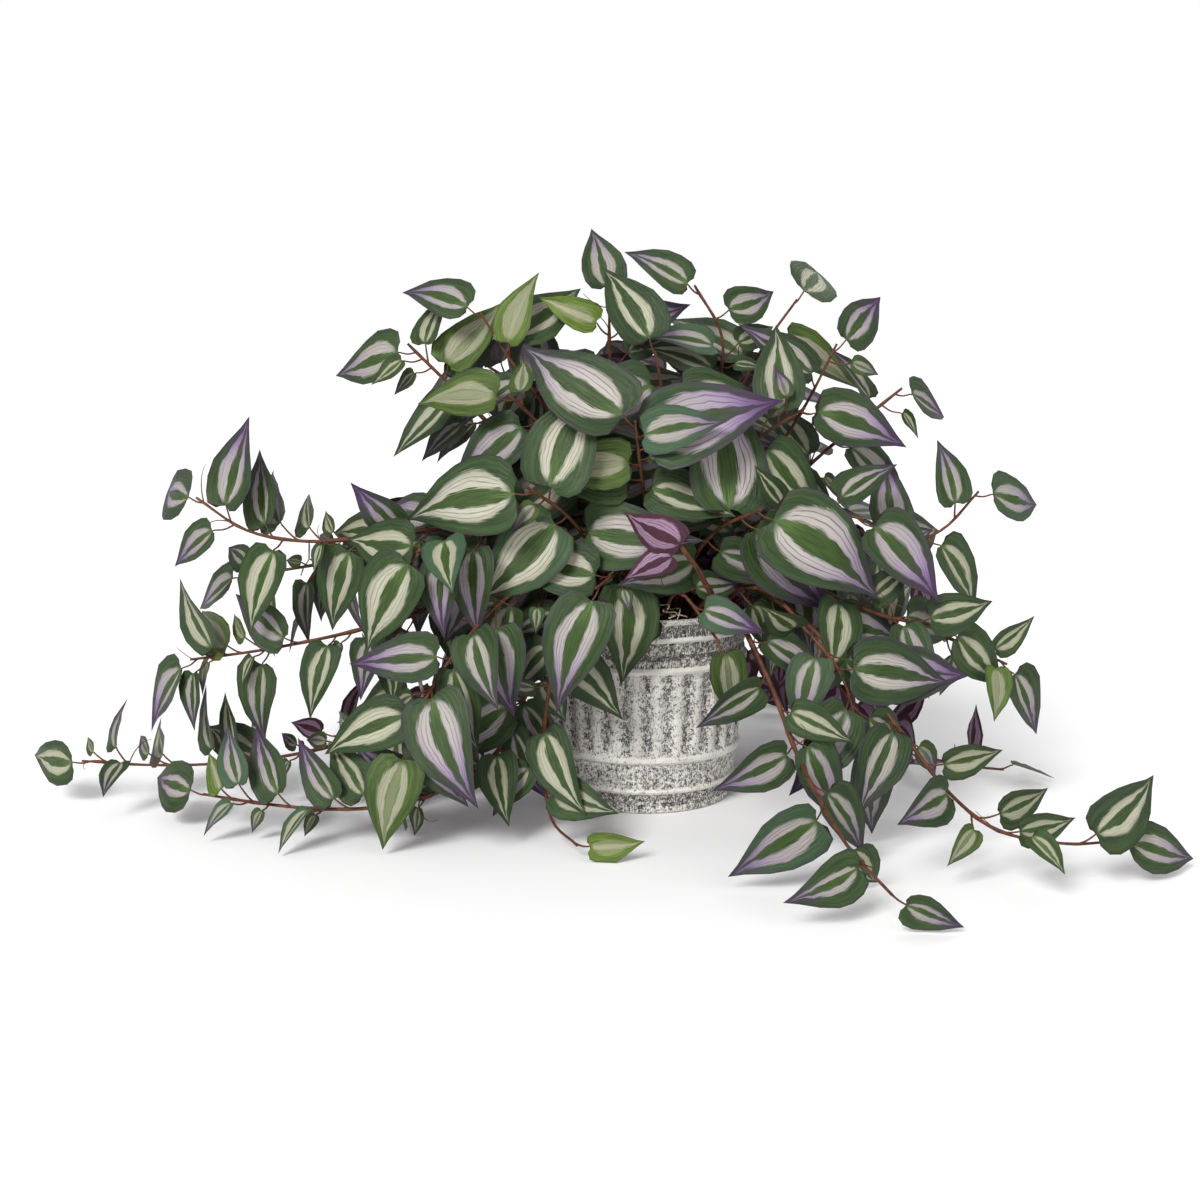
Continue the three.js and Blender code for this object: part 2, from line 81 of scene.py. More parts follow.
lightSet = {
    "key": {"from": (-1.0, -1.8, 1.6), "spread": 24, "power": 2.7},
    "fill": {"from": (1.6, -1.3, 0.8), "spread": 60, "power": 0.7},
    "back": {"from": (0.4, 1.5, 1.6), "spread": 50, "power": 0.5},
    "skyColour": (1.0, 1.0, 1.0),
    "skyPower": 0.47,
    "skySeen": 1.0,
}

floorSet = {
    "colour": (0.95, 0.95, 0.95),
    "roughness": 0.9,
    "specular": 0.1,
    "size": 60,
    "drop": 0.0003,
}

for lightName in ("key", "fill", "back"):
    light = lightSet[lightName]
    bpy.ops.object.light_add(type="SUN", location=light["from"], rotation=lookAt(light["from"], (0, 0, 0)))
    lamp = bpy.context.object
    lamp.name = lightName + "_light"
    lamp.data.angle = math.radians(light["spread"])
    lamp.data.energy = light["power"]


def addNode(tree, kind, values=None, **settings):
    # values are numbers, colours or other nodes' outputs, by the name or number of a socket
    node = tree.nodes.new(kind)
    for name, value in settings.items():
        setattr(node, name, value)
    for socket, value in (values or {}).items():
        if isinstance(value, bpy.types.NodeSocket):
            tree.links.new(value, node.inputs[socket])
        else:
            node.inputs[socket].default_value = value
    return node


def calc(tree, operation, *values, clamp=False):
    node = addNode(tree, "ShaderNodeMath", dict(enumerate(values)), operation=operation, use_clamp=clamp)
    return node.outputs[0]


def easeValue(tree, value, low, high, fromValue=0.0, toValue=1.0):
    sockets = {"Value": value, "From Min": low, "From Max": high, "To Min": fromValue, "To Max": toValue}
    return addNode(tree, "ShaderNodeMapRange", sockets, interpolation_type="SMOOTHSTEP").outputs["Result"]


def mixColour(tree, share, first, second):
    return addNode(tree, "ShaderNodeMix", {0: share, 6: first, 7: second}, data_type="RGBA").outputs[2]


def readValue(tree, name):
    return addNode(tree, "ShaderNodeAttribute", attribute_name=name).outputs["Fac"]


def sumsIn(tree):
    # short calls for the sums, the blends and the leaf or paint values of one node tree
    return SimpleNamespace(
        times=partial(calc, tree, "MULTIPLY"), timesAdd=partial(calc, tree, "MULTIPLY_ADD"),
        add=partial(calc, tree, "ADD"), less=partial(calc, tree, "SUBTRACT"),
        over=partial(calc, tree, "DIVIDE"), sine=partial(calc, tree, "SINE"),
        ease=partial(easeValue, tree), mix=partial(mixColour, tree), read=partial(readValue, tree))


def startGroup(name, inputs, outputs):
    group = bpy.data.node_groups.new(name, "ShaderNodeTree")
    for socketName, value in inputs.items():
        socket = group.interface.new_socket(name=socketName, in_out="INPUT", socket_type="NodeSocketFloat")
        socket.default_value = value
    for socketName in outputs:
        group.interface.new_socket(name=socketName, in_out="OUTPUT", socket_type="NodeSocketFloat")
    return group, addNode(group, "NodeGroupInput").outputs, addNode(group, "NodeGroupOutput").inputs


def useGroup(tree, group, values):
    return addNode(tree, "ShaderNodeGroup", values, node_tree=group).outputs


def startMaterial(name, settings):
    material = bpy.data.materials.new(name)
    material.use_nodes = True
    tree = material.node_tree
    shader = tree.nodes["Principled BSDF"]
    shader.inputs["Roughness"].default_value = settings["roughness"]
    shader.inputs["Specular IOR Level"].default_value = settings["specular"]
    return material, tree, shader


def addBump(tree, shader, height, strength, distance):
    bump = addNode(tree, "ShaderNodeBump", {"Strength": strength, "Distance": distance, "Height": height})
    tree.links.new(bump.outputs["Normal"], shader.inputs["Normal"])


def rgb(text):
    # a colour as it is seen, such as "3c5a48", made linear
    shares = [int(text[i:i + 2], 16) / 255 for i in (0, 2, 4)]
    linear = [s / 12.92 if s <= 0.04045 else ((s + 0.055) / 1.055) ** 2.4 for s in shares]
    return (*linear, 1.0)


def coloursOf(settings):
    return {name: rgb(text) for name, text in settings["colours"].items()}


floorMaterial, _, floorShader = startMaterial("pale_floor", floorSet)
floorShader.inputs["Base Color"].default_value = (*floorSet["colour"], 1.0)
bpy.ops.mesh.primitive_plane_add(size=floorSet["size"], location=(0, 0, -floorSet["drop"]))
floor = bpy.context.object
floor.name = "floor"
floor.data.materials.append(floorMaterial)

world = bpy.data.worlds.new("studio")
world.use_nodes = True
bpy.context.scene.world = world
sky = world.node_tree.nodes["Background"]
sky.inputs["Color"].default_value = (*lightSet["skyColour"], 1.0)
seen = addNode(world.node_tree, "ShaderNodeLightPath").outputs["Is Camera Ray"]
brighter = lightSet["skySeen"] - lightSet["skyPower"]
strength = calc(world.node_tree, "MULTIPLY_ADD", seen, brighter, lightSet["skyPower"])
world.node_tree.links.new(strength, sky.inputs["Strength"])
print("camera, floor and lights are in place")


# shader groups that several finishes share

mottleReach = (0.3, 0.7)  # the middle part of a noise, which is spread out from 0 to 1
grainSet = {
    "broad": 0.18,            # the scale of the broad mottling, as a share of the fine one's
    "noise": {"Detail": 4.0, "Roughness": 0.65},
}


def makeGrain(settings):
    # fine, broad and upright mottling on the object's own coordinates, each from 0 to 1
    group, given, made = startGroup("grain", {"Scale": 500.0, "Stretch": 4.0}, ["Fine", "Broad", "Upright"])
    do = sumsIn(group)
    place = addNode(group, "ShaderNodeTexCoord").outputs["Object"]
    apart = addNode(group, "ShaderNodeSeparateXYZ", {0: place}).outputs
    squeezed = do.over(apart[2], given["Stretch"])
    tall = addNode(group, "ShaderNodeCombineXYZ", {0: apart[0], 1: apart[1], 2: squeezed}).outputs[0]
    broadScale = do.times(given["Scale"], settings["broad"])
    for name, where, scale in (("Fine", place, given["Scale"]), ("Broad", place, broadScale),
                               ("Upright", tall, given["Scale"])):
        values = {"Vector": where, "Scale": scale, **settings["noise"]}
        mottle = addNode(group, "ShaderNodeTexNoise", values).outputs["Fac"]
        group.links.new(do.ease(mottle, *mottleReach), made[name])
    return group


# lengths across a blade are shares of half its width, and along it shares of its length
bandSet = {
    "streaks": (13.0, 1.7),   # how fine the streaks are, across and along
    "fibres": (64.0, 5.0),
    "drifts": (2.4, 1.6),
    "leafShift": (91.0, 37.0),  # how far the streaks of one leaf are from another's
    "noise": {"Scale": 1.0, "Detail": 3.0, "Roughness": 0.6},
    "drift": 0.1,             # how far the bands wander to one side
    "fray": 0.07,             # how far fibres fray their edges
    "bow": 0.72,              # below 1, the bands are widest nearer to the stalk
    "inside": (0.05, 0.12),   # from the midrib to a band, and how much more in its middle
    "insideBySize": 0.1,
    "breadth": (0.1, 0.22),   # of a band, and how much more in its middle
    "bySize": (0.94, 0.34),   # times as broad on the smallest blades, and how much more on large ones
    "softness": (0.035, 0.05),  # of a band's inner and outer edge
    "stalkFade": (0.01, 0.09),
    "tipFade": (0.86, 0.97),
    "youngStripe": (0.08, 0.3),  # where the edge of a young blade's one stripe fades
    "youngShare": 0.85,
    "lines": (19.5, -4.9),    # the dark lines across a band: a sine's speed and start
    "lineFade": (0.55, 1.0),
    "linesFrom": (0.14, 0.24),
    "lineWear": (0.5, 0.5),
    "linesBySize": (0.6, 0.4),
    "outerFade": (0.35, 1.05),
    "veins": (46.0, 0.22),    # how fine they are and how high
    "relief": (0.25, 0.5),    # of the bands and the fibres
}


def makeLeafBands(settings):
    # the lengthwise bands of a leaf, read from its own map: u goes across the blade and v along it
    inputs = {"Youth": 0.0, "Size": 0.5, "Chance": 0.5, "Width": 1.0}
    outputs = ["Band", "Centre", "Strand", "Fade", "Streak", "Fibre", "Along", "Across", "Ridge"]
    group, given, made = startGroup("leaf_bands", inputs, outputs)
    do = sumsIn(group)
    spot = addNode(group, "ShaderNodeUVMap", uv_map="leafMap").outputs[0]
    apart = addNode(group, "ShaderNodeSeparateXYZ", {0: spot}).outputs
    along = apart[1]
    across = do.times(calc(group, "ABSOLUTE", do.less(apart[0], 0.5)), 2.0)

    def streaks(acrossScale, alongScale):
        # streaks run the length of the blade and differ from leaf to leaf
        shiftX, shiftY = settings["leafShift"]
        streakX = do.timesAdd(apart[0], acrossScale, do.times(given["Chance"], shiftX))
        streakY = do.timesAdd(along, alongScale, do.times(given["Chance"], shiftY))
        place = addNode(group, "ShaderNodeCombineXYZ", {0: streakX, 1: streakY}).outputs[0]
        values = {"Vector": place, **settings["noise"]}
        return do.ease(addNode(group, "ShaderNodeTexNoise", values).outputs["Fac"], *mottleReach)

    def away(value, low, high):
        # 1 up to low, 0 from high on
        return do.ease(value, low, high, 1.0, 0.0)

    streak = streaks(*settings["streaks"])
    fibre = streaks(*settings["fibres"])
    drift = streaks(*settings["drifts"])
    drifted = do.add(across, do.timesAdd(drift, settings["drift"], -settings["drift"] / 2))
    shifted = do.add(drifted, do.timesAdd(fibre, settings["fray"], -settings["fray"] / 2))
    bulge = do.sine(do.times(calc(group, "POWER", along, settings["bow"]), math.pi))
    atEnds, inMiddle = settings["inside"]
    inner = do.timesAdd(bulge, do.timesAdd(given["Size"], settings["insideBySize"], inMiddle), atEnds)
    atEnds, inMiddle = settings["breadth"]
    least, bySize = settings["bySize"]
    bigger = do.timesAdd(given["Size"], bySize, least)
    breadth = do.times(do.timesAdd(bulge, inMiddle, atEnds), do.times(given["Width"], bigger))
    outer = do.add(inner, breadth)
    innerSoft, outerSoft = settings["softness"]
    rise = do.ease(shifted, do.less(inner, innerSoft), do.add(inner, innerSoft))
    fall = away(shifted, do.less(outer, outerSoft), do.add(outer, outerSoft))
    ends = do.times(do.ease(along, *settings["stalkFade"]), away(along, *settings["tipFade"]))
    pair = do.times(do.times(rise, fall), ends)
    # young blades have one pale stripe in the middle
    stripe = do.times(away(shifted, *settings["youngStripe"]), ends)
    single = do.times(stripe, do.times(given["Youth"], settings["youngShare"]))
    paired = do.times(pair, do.timesAdd(given["Youth"], -settings["youngShare"], 1.0))
    band = calc(group, "MAXIMUM", single, paired)
    # thin dark lines split a band into strands, and it fades towards its outer side
    share = do.over(do.less(drifted, inner), breadth)
    lines = do.sine(do.timesAdd(share, *settings["lines"]))
    thin = do.times(do.ease(lines, *settings["lineFade"]), do.ease(share, *settings["linesFrom"]))
    worn = do.timesAdd(streak, *settings["lineWear"])
    large = do.timesAdd(given["Size"], *settings["linesBySize"])
    strand = do.times(do.times(thin, worn), do.times(pair, large))
    fade = do.ease(share, *settings["outerFade"])
    centre = do.less(1.0, rise, clamp=True)
    fineness, height = settings["veins"]
    bandRelief, fibreRelief = settings["relief"]
    relief = do.timesAdd(do.sine(do.times(across, fineness)), height, do.times(band, bandRelief))
    ridge = do.timesAdd(fibre, fibreRelief, relief)
    for name, value in zip(outputs, (band, centre, strand, fade, streak, fibre, along, across, ridge)):
        group.links.new(value, made[name])
    return group


grain = makeGrain(grainSet)
leafBands = makeLeafBands(bandSet)


# finishes

leafTopSet = {
    "colours": {
        "margin": "263b1e", "marginLight": "3d5229", "centre": "293f1a", "centreLight": "485f29",
        "silver": "c5c3b0", "silverDull": "87896b", "silverSmall": "979a7b", "strand": "4d4350",
        "lime": "506a1f", "limeLight": "7a9133", "limeBand": "b6b095", "cool": "48684f",
        "lilac": "8a6ba3", "plum": "43294c", "rim": "1c2a1b", "base": "6d8c48", "deep": "121e13",
    },
    "roughness": 0.44,
    "specular": 0.28,
    "bandWidth": (0.5, 0.8),  # from leaf to leaf a band is 0.8 to 1.3 times as broad
    "bandDraws": 7.0,
    "coolFrom": 0.88,         # leaves whose chance is above this are bluish green
    "coolBySize": (-0.5, 0.6),
    "stalkLight": (0.0, 0.3, 0.7, 0.0),  # from where to where along a blade, and how strong at each
    "dark": (0.0, 0.6, 0.3, 0.0),  # leaves of a low chance are darker: from which to which, and how much
    "fibres": (0.22, 0.3),    # how strongly they mark the green and the silver
    "smallDull": (-0.65, 0.65),  # small leaves' silver is duller
    "outerFade": 0.55,
    "flushAlong": (0.2, 0.9),  # where the purple flush grows, and how much of it there is
    "flushShare": (0.65, 0.35),
    "flood": (0.75, 1.0, 0.0, 0.6),  # only strongly flushed leaves turn plum between their bands
    "plumTip": (0.5, 0.95),
    "plumShare": 0.8,
    "lines": 0.85,
    "edge": (0.86, 0.55),     # where the dark edge starts and how strong it is
    "bump": (0.5, 0.0007),
}


def makeLeafTop(settings):
    colours = coloursOf(settings)
    material, tree, shader = startMaterial("leaf_top", settings)
    do = sumsIn(tree)
    leafValues = ("leafYouth", "leafBlush", "leafSize", "leafChance")
    youth, blush, size, chance = [do.read(name) for name in leafValues]
    width = do.timesAdd(calc(tree, "FRACT", do.times(chance, settings["bandDraws"])), *settings["bandWidth"])
    bands = useGroup(tree, leafBands, {"Youth": youth, "Size": size, "Chance": chance, "Width": width})
    margin = do.mix(bands["Streak"], colours["margin"], colours["marginLight"])
    cool = do.times(do.ease(chance, settings["coolFrom"], 1.0), do.timesAdd(size, *settings["coolBySize"]))
    margin = do.mix(cool, margin, colours["cool"])
    centre = do.mix(bands["Fibre"], colours["centre"], colours["centreLight"])
    nearStalk = do.times(do.ease(bands["Along"], *settings["stalkLight"]), bands["Fibre"])
    centre = do.mix(nearStalk, centre, colours["base"])
    green = do.mix(bands["Centre"], margin, centre)
    green = do.mix(youth, green, do.mix(bands["Streak"], colours["lime"], colours["limeLight"]))
    inGreen, inSilver = settings["fibres"]
    green = do.mix(do.times(bands["Fibre"], inGreen), green, colours["deep"])
    green = do.mix(do.ease(chance, *settings["dark"]), green, colours["deep"])
    silver = do.mix(do.timesAdd(size, *settings["smallDull"]), colours["silver"], colours["silverSmall"])
    silver = do.mix(do.times(bands["Fade"], settings["outerFade"]), silver, colours["silverDull"])
    silver = do.mix(do.times(bands["Fibre"], inSilver), silver, colours["silverDull"])
    silver = do.mix(youth, silver, colours["limeBand"])
    # flushed leaves turn lilac and plum towards their tips
    towardsTip = do.ease(bands["Along"], *settings["flushAlong"])
    flush = do.times(blush, do.timesAdd(towardsTip, *settings["flushShare"]))
    silver = do.mix(flush, silver, colours["lilac"])
    flooded = do.times(do.ease(blush, *settings["flood"]), towardsTip)
    green = do.mix(flooded, green, colours["plum"])
    colour = do.mix(bands["Band"], green, silver)
    colour = do.mix(do.times(bands["Strand"], settings["lines"]), colour, colours["strand"])
    edgeFrom, edgeShare = settings["edge"]
    edge = do.times(do.ease(bands["Across"], edgeFrom, 1.0), edgeShare)
    colour = do.mix(edge, colour, do.mix(blush, colours["rim"], colours["plum"]))
    tip = do.times(blush, do.ease(bands["Along"], *settings["plumTip"]))
    colour = do.mix(do.times(tip, settings["plumShare"]), colour, colours["plum"])
    tree.links.new(colour, shader.inputs["Base Color"])
    addBump(tree, shader, bands["Ridge"], *settings["bump"])
    return material


leafUnderSet = {
    "colours": {"plum": "3a202c", "plumLight": "553342", "stripe": "75506a", "stripeSmall": "a98aa3",
                "greenish": "4f5f41", "strand": "40222f"},
    "roughness": 0.55,
    "specular": 0.2,
    "bandWidth": 1.15,
    "bands": 0.8,
    "youngGreen": 0.8,
    "bump": (0.35, 0.0005),
}


def makeLeafUnder(settings):
    colours = coloursOf(settings)
    material, tree, shader = startMaterial("leaf_underside", settings)
    do = sumsIn(tree)
    youth, chance, size = [do.read(name) for name in ("leafYouth", "leafChance", "leafSize")]
    values = {"Youth": 0.0, "Size": 1.0, "Chance": chance, "Width": settings["bandWidth"]}
    bands = useGroup(tree, leafBands, values)
    base = do.mix(bands["Fibre"], colours["plum"], colours["plumLight"])
    stripe = do.mix(size, colours["stripeSmall"], colours["stripe"])
    colour = do.mix(do.times(bands["Band"], settings["bands"]), base, stripe)
    colour = do.mix(bands["Strand"], colour, colours["strand"])
    colour = do.mix(do.times(youth, settings["youngGreen"]), colour, colours["greenish"])
    tree.links.new(colour, shader.inputs["Base Color"])
    addBump(tree, shader, bands["Ridge"], *settings["bump"])
    return material


whitewashSet = {
    "colours": {"zinc": "393734", "zincLight": "6d6a66", "chalk": "f3f1ea", "chalkWarm": "e2ded5"},
    "roughness": 0.62,
    "specular": 0.4,
    "specks": {"Scale": 1150.0, "Stretch": 3.0},
    "blotches": {"Scale": 420.0, "Stretch": 2.0},
    "speckMix": (0.55, 0.45),  # how much of the fine and of the upright specks
    "mix": (0.35, 0.65),      # how much of the blotches and of the specks
    "softness": 0.2,
    "metallic": (-0.25, 0.35),  # change from bare zinc to full chalk, and what bare zinc has
    "roughening": (0.25, 0.5),
    "relief": (0.6, 0.4),     # how much of the chalk's edges and of the specks
    "bump": (0.45, 0.0006),
}


def makeWhitewash(settings):
    colours = coloursOf(settings)
    material, tree, shader = startMaterial("whitewashed_zinc", settings)
    do = sumsIn(tree)
    # this cover is the chalk's own, and in the groove from 94.8 to 98.0 mm up it also holds painted shade
    paintAndShade = do.read("paintCoverAndShade")
    marks = useGroup(tree, grain, settings["specks"])
    blotch = useGroup(tree, grain, settings["blotches"])

    def blend(first, second, shares):
        return do.timesAdd(first, shares[0], do.times(second, shares[1]))

    speck = blend(marks["Fine"], marks["Upright"], settings["speckMix"])
    speck = blend(blotch["Fine"], speck, settings["mix"])
    missing = do.less(1.0, paintAndShade)
    coverAndShade = do.ease(speck, do.less(missing, settings["softness"]), do.add(missing, settings["softness"]))
    zinc = do.mix(marks["Broad"], colours["zinc"], colours["zincLight"])
    chalk = do.mix(blotch["Broad"], colours["chalkWarm"], colours["chalk"])
    tree.links.new(do.mix(coverAndShade, zinc, chalk), shader.inputs["Base Color"])
    tree.links.new(do.timesAdd(coverAndShade, *settings["metallic"]), shader.inputs["Metallic"])
    tree.links.new(do.timesAdd(coverAndShade, *settings["roughening"]), shader.inputs["Roughness"])
    addBump(tree, shader, blend(coverAndShade, marks["Fine"], settings["relief"]), *settings["bump"])
    return material


# plain finishes: the first two colours change broadly, and fine marks add the third
plainSet = {
    "stem_bark": {"colours": ("341d16", "5c3424", "86583c"), "roughness": 0.55, "specular": 0.25,
                  "scale": 260.0, "stretch": 2.0, "marks": 0.4, "bump": (0.3, 0.0004)},
    "dark_soil": {"colours": ("1d1512", "3f2d23", "5e4837"), "roughness": 0.95, "specular": 0.2,
                  "scale": 330.0, "stretch": 1.0, "marks": 0.35, "bump": (0.9, 0.0012)},
    "wood_wool_straw": {"colours": ("a58f6c", "d9cfb8"), "roughness": 0.7, "specular": 0.3,
                        "scale": 420.0, "stretch": 1.0, "bump": (0.4, 0.0004)},
}


def makePlain(name, settings):
    colours = [rgb(text) for text in settings["colours"]]
    material, tree, shader = startMaterial(name, settings)
    do = sumsIn(tree)
    marks = useGroup(tree, grain, {"Scale": settings["scale"], "Stretch": settings["stretch"]})
    if "marks" in settings:
        colour = do.mix(marks["Broad"], *colours[:2])
        colour = do.mix(do.times(marks["Fine"], settings["marks"]), colour, colours[2])
    else:
        colour = do.mix(marks["Fine"], *colours)
    tree.links.new(colour, shader.inputs["Base Color"])
    addBump(tree, shader, marks["Fine"], *settings["bump"])
    return material


leafTop = makeLeafTop(leafTopSet)
leafUnder = makeLeafUnder(leafUnderSet)
whitewash = makeWhitewash(whitewashSet)
stemBark, earth, straw = [makePlain(name, settings) for name, settings in plainSet.items()]
print("finishes are mixed")


# modelling helpers

def choose(*pieces):
    # only these pieces are selected, and the first is active
    for each in bpy.context.selected_objects:
        each.select_set(False)
    for each in pieces:
        each.select_set(True)
    bpy.context.view_layer.objects.active = pieces[0]


def editOnly(piece, mode="VERT"):
    choose(piece)
    bpy.ops.object.mode_set(mode="EDIT")
    bpy.ops.mesh.select_mode(type=mode)


def pick(piece, test):
    # in edit mode: selects the vertices that pass the test, and all between them
    shape = bmesh.from_edit_mesh(piece.data)
    for each in [*shape.faces, *shape.edges]:
        each.select = False
    for vertex in shape.verts:
        vertex.select = bool(test(vertex))
    shape.select_flush(True)
    bmesh.update_edit_mesh(piece.data)


def finishEdit():
    bpy.ops.object.mode_set(mode="OBJECT")


def settle(piece, name, slotName, *replaced):
    # the place goes into the mesh, and the piece joins the frame
    choose(piece)
    bpy.ops.object.transform_apply(location=True, rotation=True, scale=True)
    piece.name = name
    piece.data.name = name
    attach(piece, "root")
    if replaced:
        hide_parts(*replaced)


def shadeByAngle(piece, degrees):
    choose(piece)
    bpy.ops.object.shade_smooth_by_angle(angle=math.radians(degrees))


def setAttribute(mesh, name, values):
    mesh.attributes.new(name, "FLOAT", "POINT").data.foreach_set("value", np.asarray(values, np.float32))


def turnUp(piece, outline, radius, height):
    # carries the piece's ring through each radius and height, and closes the last one to a point
    editOnly(piece, "EDGE")
    bpy.ops.mesh.select_all(action="SELECT")
    for nextRadius, nextHeight in outline:
        bpy.ops.mesh.extrude_edges_move(TRANSFORM_OT_translate={"value": (0, 0, (nextHeight - height) * mm)})
        grow = nextRadius / radius
        bpy.ops.transform.resize(value=(grow, grow, 1), center_override=(0, 0, nextHeight * mm))
        radius, height = nextRadius, nextHeight
    bpy.ops.mesh.extrude_edges_move()
    bpy.ops.mesh.merge(type="CENTER")
    bpy.ops.mesh.select_all(action="SELECT")
    bpy.ops.mesh.normals_make_consistent(inside=False)
    bpy.ops.mesh.select_mode(type="VERT")


def joinPieces(pieces):
    choose(*pieces)
    if len(pieces) > 1:
        bpy.ops.object.join()
    return bpy.context.view_layer.objects.active


def makeTubes(name, lines, material, resolution=1):
    # each line is a list of (place, radius), in metres; all become one mesh
    curve = bpy.data.curves.new(name, "CURVE")
    curve.dimensions = "3D"
    curve.bevel_depth = 1.0
    curve.bevel_resolution = resolution
    curve.use_fill_caps = True
    for line in lines:
        spline = curve.splines.new("POLY")
        spline.points.add(len(line) - 1)
        for point, (place, radius) in zip(spline.points, line):
            point.co = (*place, 1)
            point.radius = radius
    piece = bpy.data.objects.new(name, curve)
    bpy.context.collection.objects.link(piece)
    choose(piece)
    bpy.ops.object.convert(target="MESH")
    piece = bpy.context.object
    piece.data.materials.clear()
    piece.data.materials.append(material)
    bpy.ops.object.shade_smooth()
    return piece


# the pot

potSet = {
    "flutes": 30,
    "fluteDepth": 1.9,
    "fluteFoot": 36.0,
    "fluteTop": 86.0,
    "fluteEase": 2.34,        # how far inside its two ends a flute reaches its full depth
    "wallFrom": 58.8,         # only what is farther out than this is fluted
    "wallRadius": 61,
    # how deep each column of a flute is
    "flutePhases": (0.0, 0.22, 0.78, 1.0, 0.78, 0.22),
    "footRound": 0.6,
    # radius and height of a cone that parts the inside from the outside
    "insideCone": ((51, 4), (63.4, 120)),
    # radius and height, up the outside, over the rolled rim and down the inside
    "outline": [
        (53.4, 0.5), (53.7, 1.6), (53.7, 3.8), (53.2, 4.4), (54.6, 9.0), (55.3, 11.9), (56.4, 12.7),
        (56.9, 13.9), (56.5, 15.1), (55.9, 15.9), (57.0, 24.0), (58.1, 30.8), (59.5, 31.7), (60.3, 32.8),
        (60.3, 34.1), (59.5, 35.2), (59.0, 36.0), (59.2, 38.6), (60.2, 50.0), (61.4, 68.0), (62.3, 83.4),
        (62.5, 86.0), (63.4, 87.0), (63.9, 88.3), (63.5, 89.8), (62.4, 90.8), (62.3, 94.6), (61.6, 95.4),
        (61.5, 97.4), (62.3, 98.2), (62.9, 105.2), (64.6, 106.0), (65.5, 107.0), (65.5, 108.3), (64.7, 109.3),
        (64.7, 110.4), (65.3, 115.8), (66.3, 117.0), (66.7, 118.3), (66.3, 119.5), (65.4, 120.0),
        (64.4, 119.7), (63.5, 118.4), (62.2, 114.0), (60.6, 107.5), (58.0, 80.0), (51.3, 4.0),
    ],
    # how much chalk covers the metal, from each height upwards; the groove from 94.8 to 98.0 gets less than
    # the band around it, as painted shade in the groove
    "coverAndShade": [(0, 0.55), (4.2, 0.42), (12.2, 0.72), (15.6, 0.53), (31.0, 0.76), (35.8, 0.56),
              (86.6, 0.88), (90.6, 0.46), (94.8, 0.36), (98.0, 0.46), (105.4, 0.88), (109.2, 0.38),
              (116.2, 0.62), (119.8, 0.5)],
    "crestCover": 0.7,
    "valleyCover": 0.44,
    "insideCover": 0.25,
    "creaseAngle": 35,
}


def makePot(settings):
    phases = settings["flutePhases"]
    sides = settings["flutes"] * len(phases)
    step = math.tau / sides
    radius = settings["outline"][0][0] - settings["footRound"]
    bpy.ops.mesh.primitive_circle_add(vertices=sides, radius=radius * mm, fill_type="NGON")
    pot = bpy.context.object
    turnUp(pot, settings["outline"], radius, 0.0)
    # the flutes: each column of vertices is drawn in by its own depth
    ease = settings["fluteEase"]
    low, high = (settings["fluteFoot"] + ease) * mm, (settings["fluteTop"] - ease) * mm

    def phaseAt(x, y):
        return round(math.atan2(y, x) / step) % len(phases)

    def inFlute(place, phase):
        isWall = place.xy.length > settings["wallFrom"] * mm and low < place.z < high
        return isWall and phaseAt(place.x, place.y) == phase

    for phase, share in enumerate(phases):
        if share > 0:
            pick(pot, lambda vertex: inFlute(vertex.co, phase))
            drawnIn = 1 - share * settings["fluteDepth"] / settings["wallRadius"]
            bpy.ops.transform.resize(value=(drawnIn, drawnIn, 1), center_override=(0, 0, 0))
    finishEdit()
    (footRadius, footHeight), (topRadius, topHeight) = settings["insideCone"]
    coversAndShade = []
    for vertex in pot.data.vertices:
        x, y, z = vertex.co / mm
        level = [coverAndShade for start, coverAndShade in settings["coverAndShade"] if z >= start][-1]
        if settings["fluteFoot"] <= z <= settings["fluteTop"]:
            crest, valley = settings["crestCover"], settings["valleyCover"]
            level = crest + (valley - crest) * phases[phaseAt(x, y)]
        cone = footRadius + (topRadius - footRadius) * (z - footHeight) / (topHeight - footHeight)
        isInside = z > footHeight and math.hypot(x, y) < cone
        coversAndShade.append(settings["insideCover"] if isInside else level)
    setAttribute(pot.data, "paintCoverAndShade", coversAndShade)
    pot.data.materials.append(whitewash)
    shadeByAngle(pot, settings["creaseAngle"])
    settle(pot, "fluted_pot", "pot_metal", "pot")


makePot(potSet)
print("the pot is turned and fluted")


# the soil, its crumbs and the wood wool at the rim

soilSet = {
    "sides": 64,
    # radius and height, up the side and in over the mound
    "outline": [(50.7, 4.3), (58.9, 102.4), (56.5, 103.0), (50.0, 104.2), (42.0, 105.4), (33.0, 106.5),
                (24.0, 107.3), (15.0, 107.8), (7.0, 108.0)],
    "roughness": 1.6,
    "evenness": 0.5,
    "roughFrom": 102.8,
    "roughWithin": 55,
    "creaseAngle": 60,
    "seed": 4,
}


def makeSoil(settings):
    radius, height = settings["outline"][0]
    bpy.ops.mesh.primitive_circle_add(vertices=settings["sides"], radius=radius * mm, fill_type="NGON",
                                      location=(0, 0, height * mm))
    soil = bpy.context.object
    bpy.ops.object.transform_apply(location=True)
    turnUp(soil, settings["outline"][1:], radius, height)
    low, reach = settings["roughFrom"] * mm, settings["roughWithin"] * mm
    pick(soil, lambda vertex: vertex.co.z > low and vertex.co.xy.length < reach)
    bpy.ops.transform.vertex_random(offset=settings["roughness"] * mm, uniform=settings["evenness"],
                                    seed=settings["seed"])
    finishEdit()
    soil.data.materials.append(earth)
    shadeByAngle(soil, settings["creaseAngle"])
    settle(soil, "soil_mound", "soil", "potting_fill")


crumbSet = {
    "count": 260,
    "size": (0.9, 2.6),
    "roughness": 0.14,
    "evenness": 0.6,
    "flatness": 0.7,
    "within": 54.5,
    "moundFoot": 103.2,
    "moundRise": 5.0,
    "moundRadius": 58.5,
    "sink": 0.2,            # how much of its size a crumb stands above the mound
    "seed": 4,
}


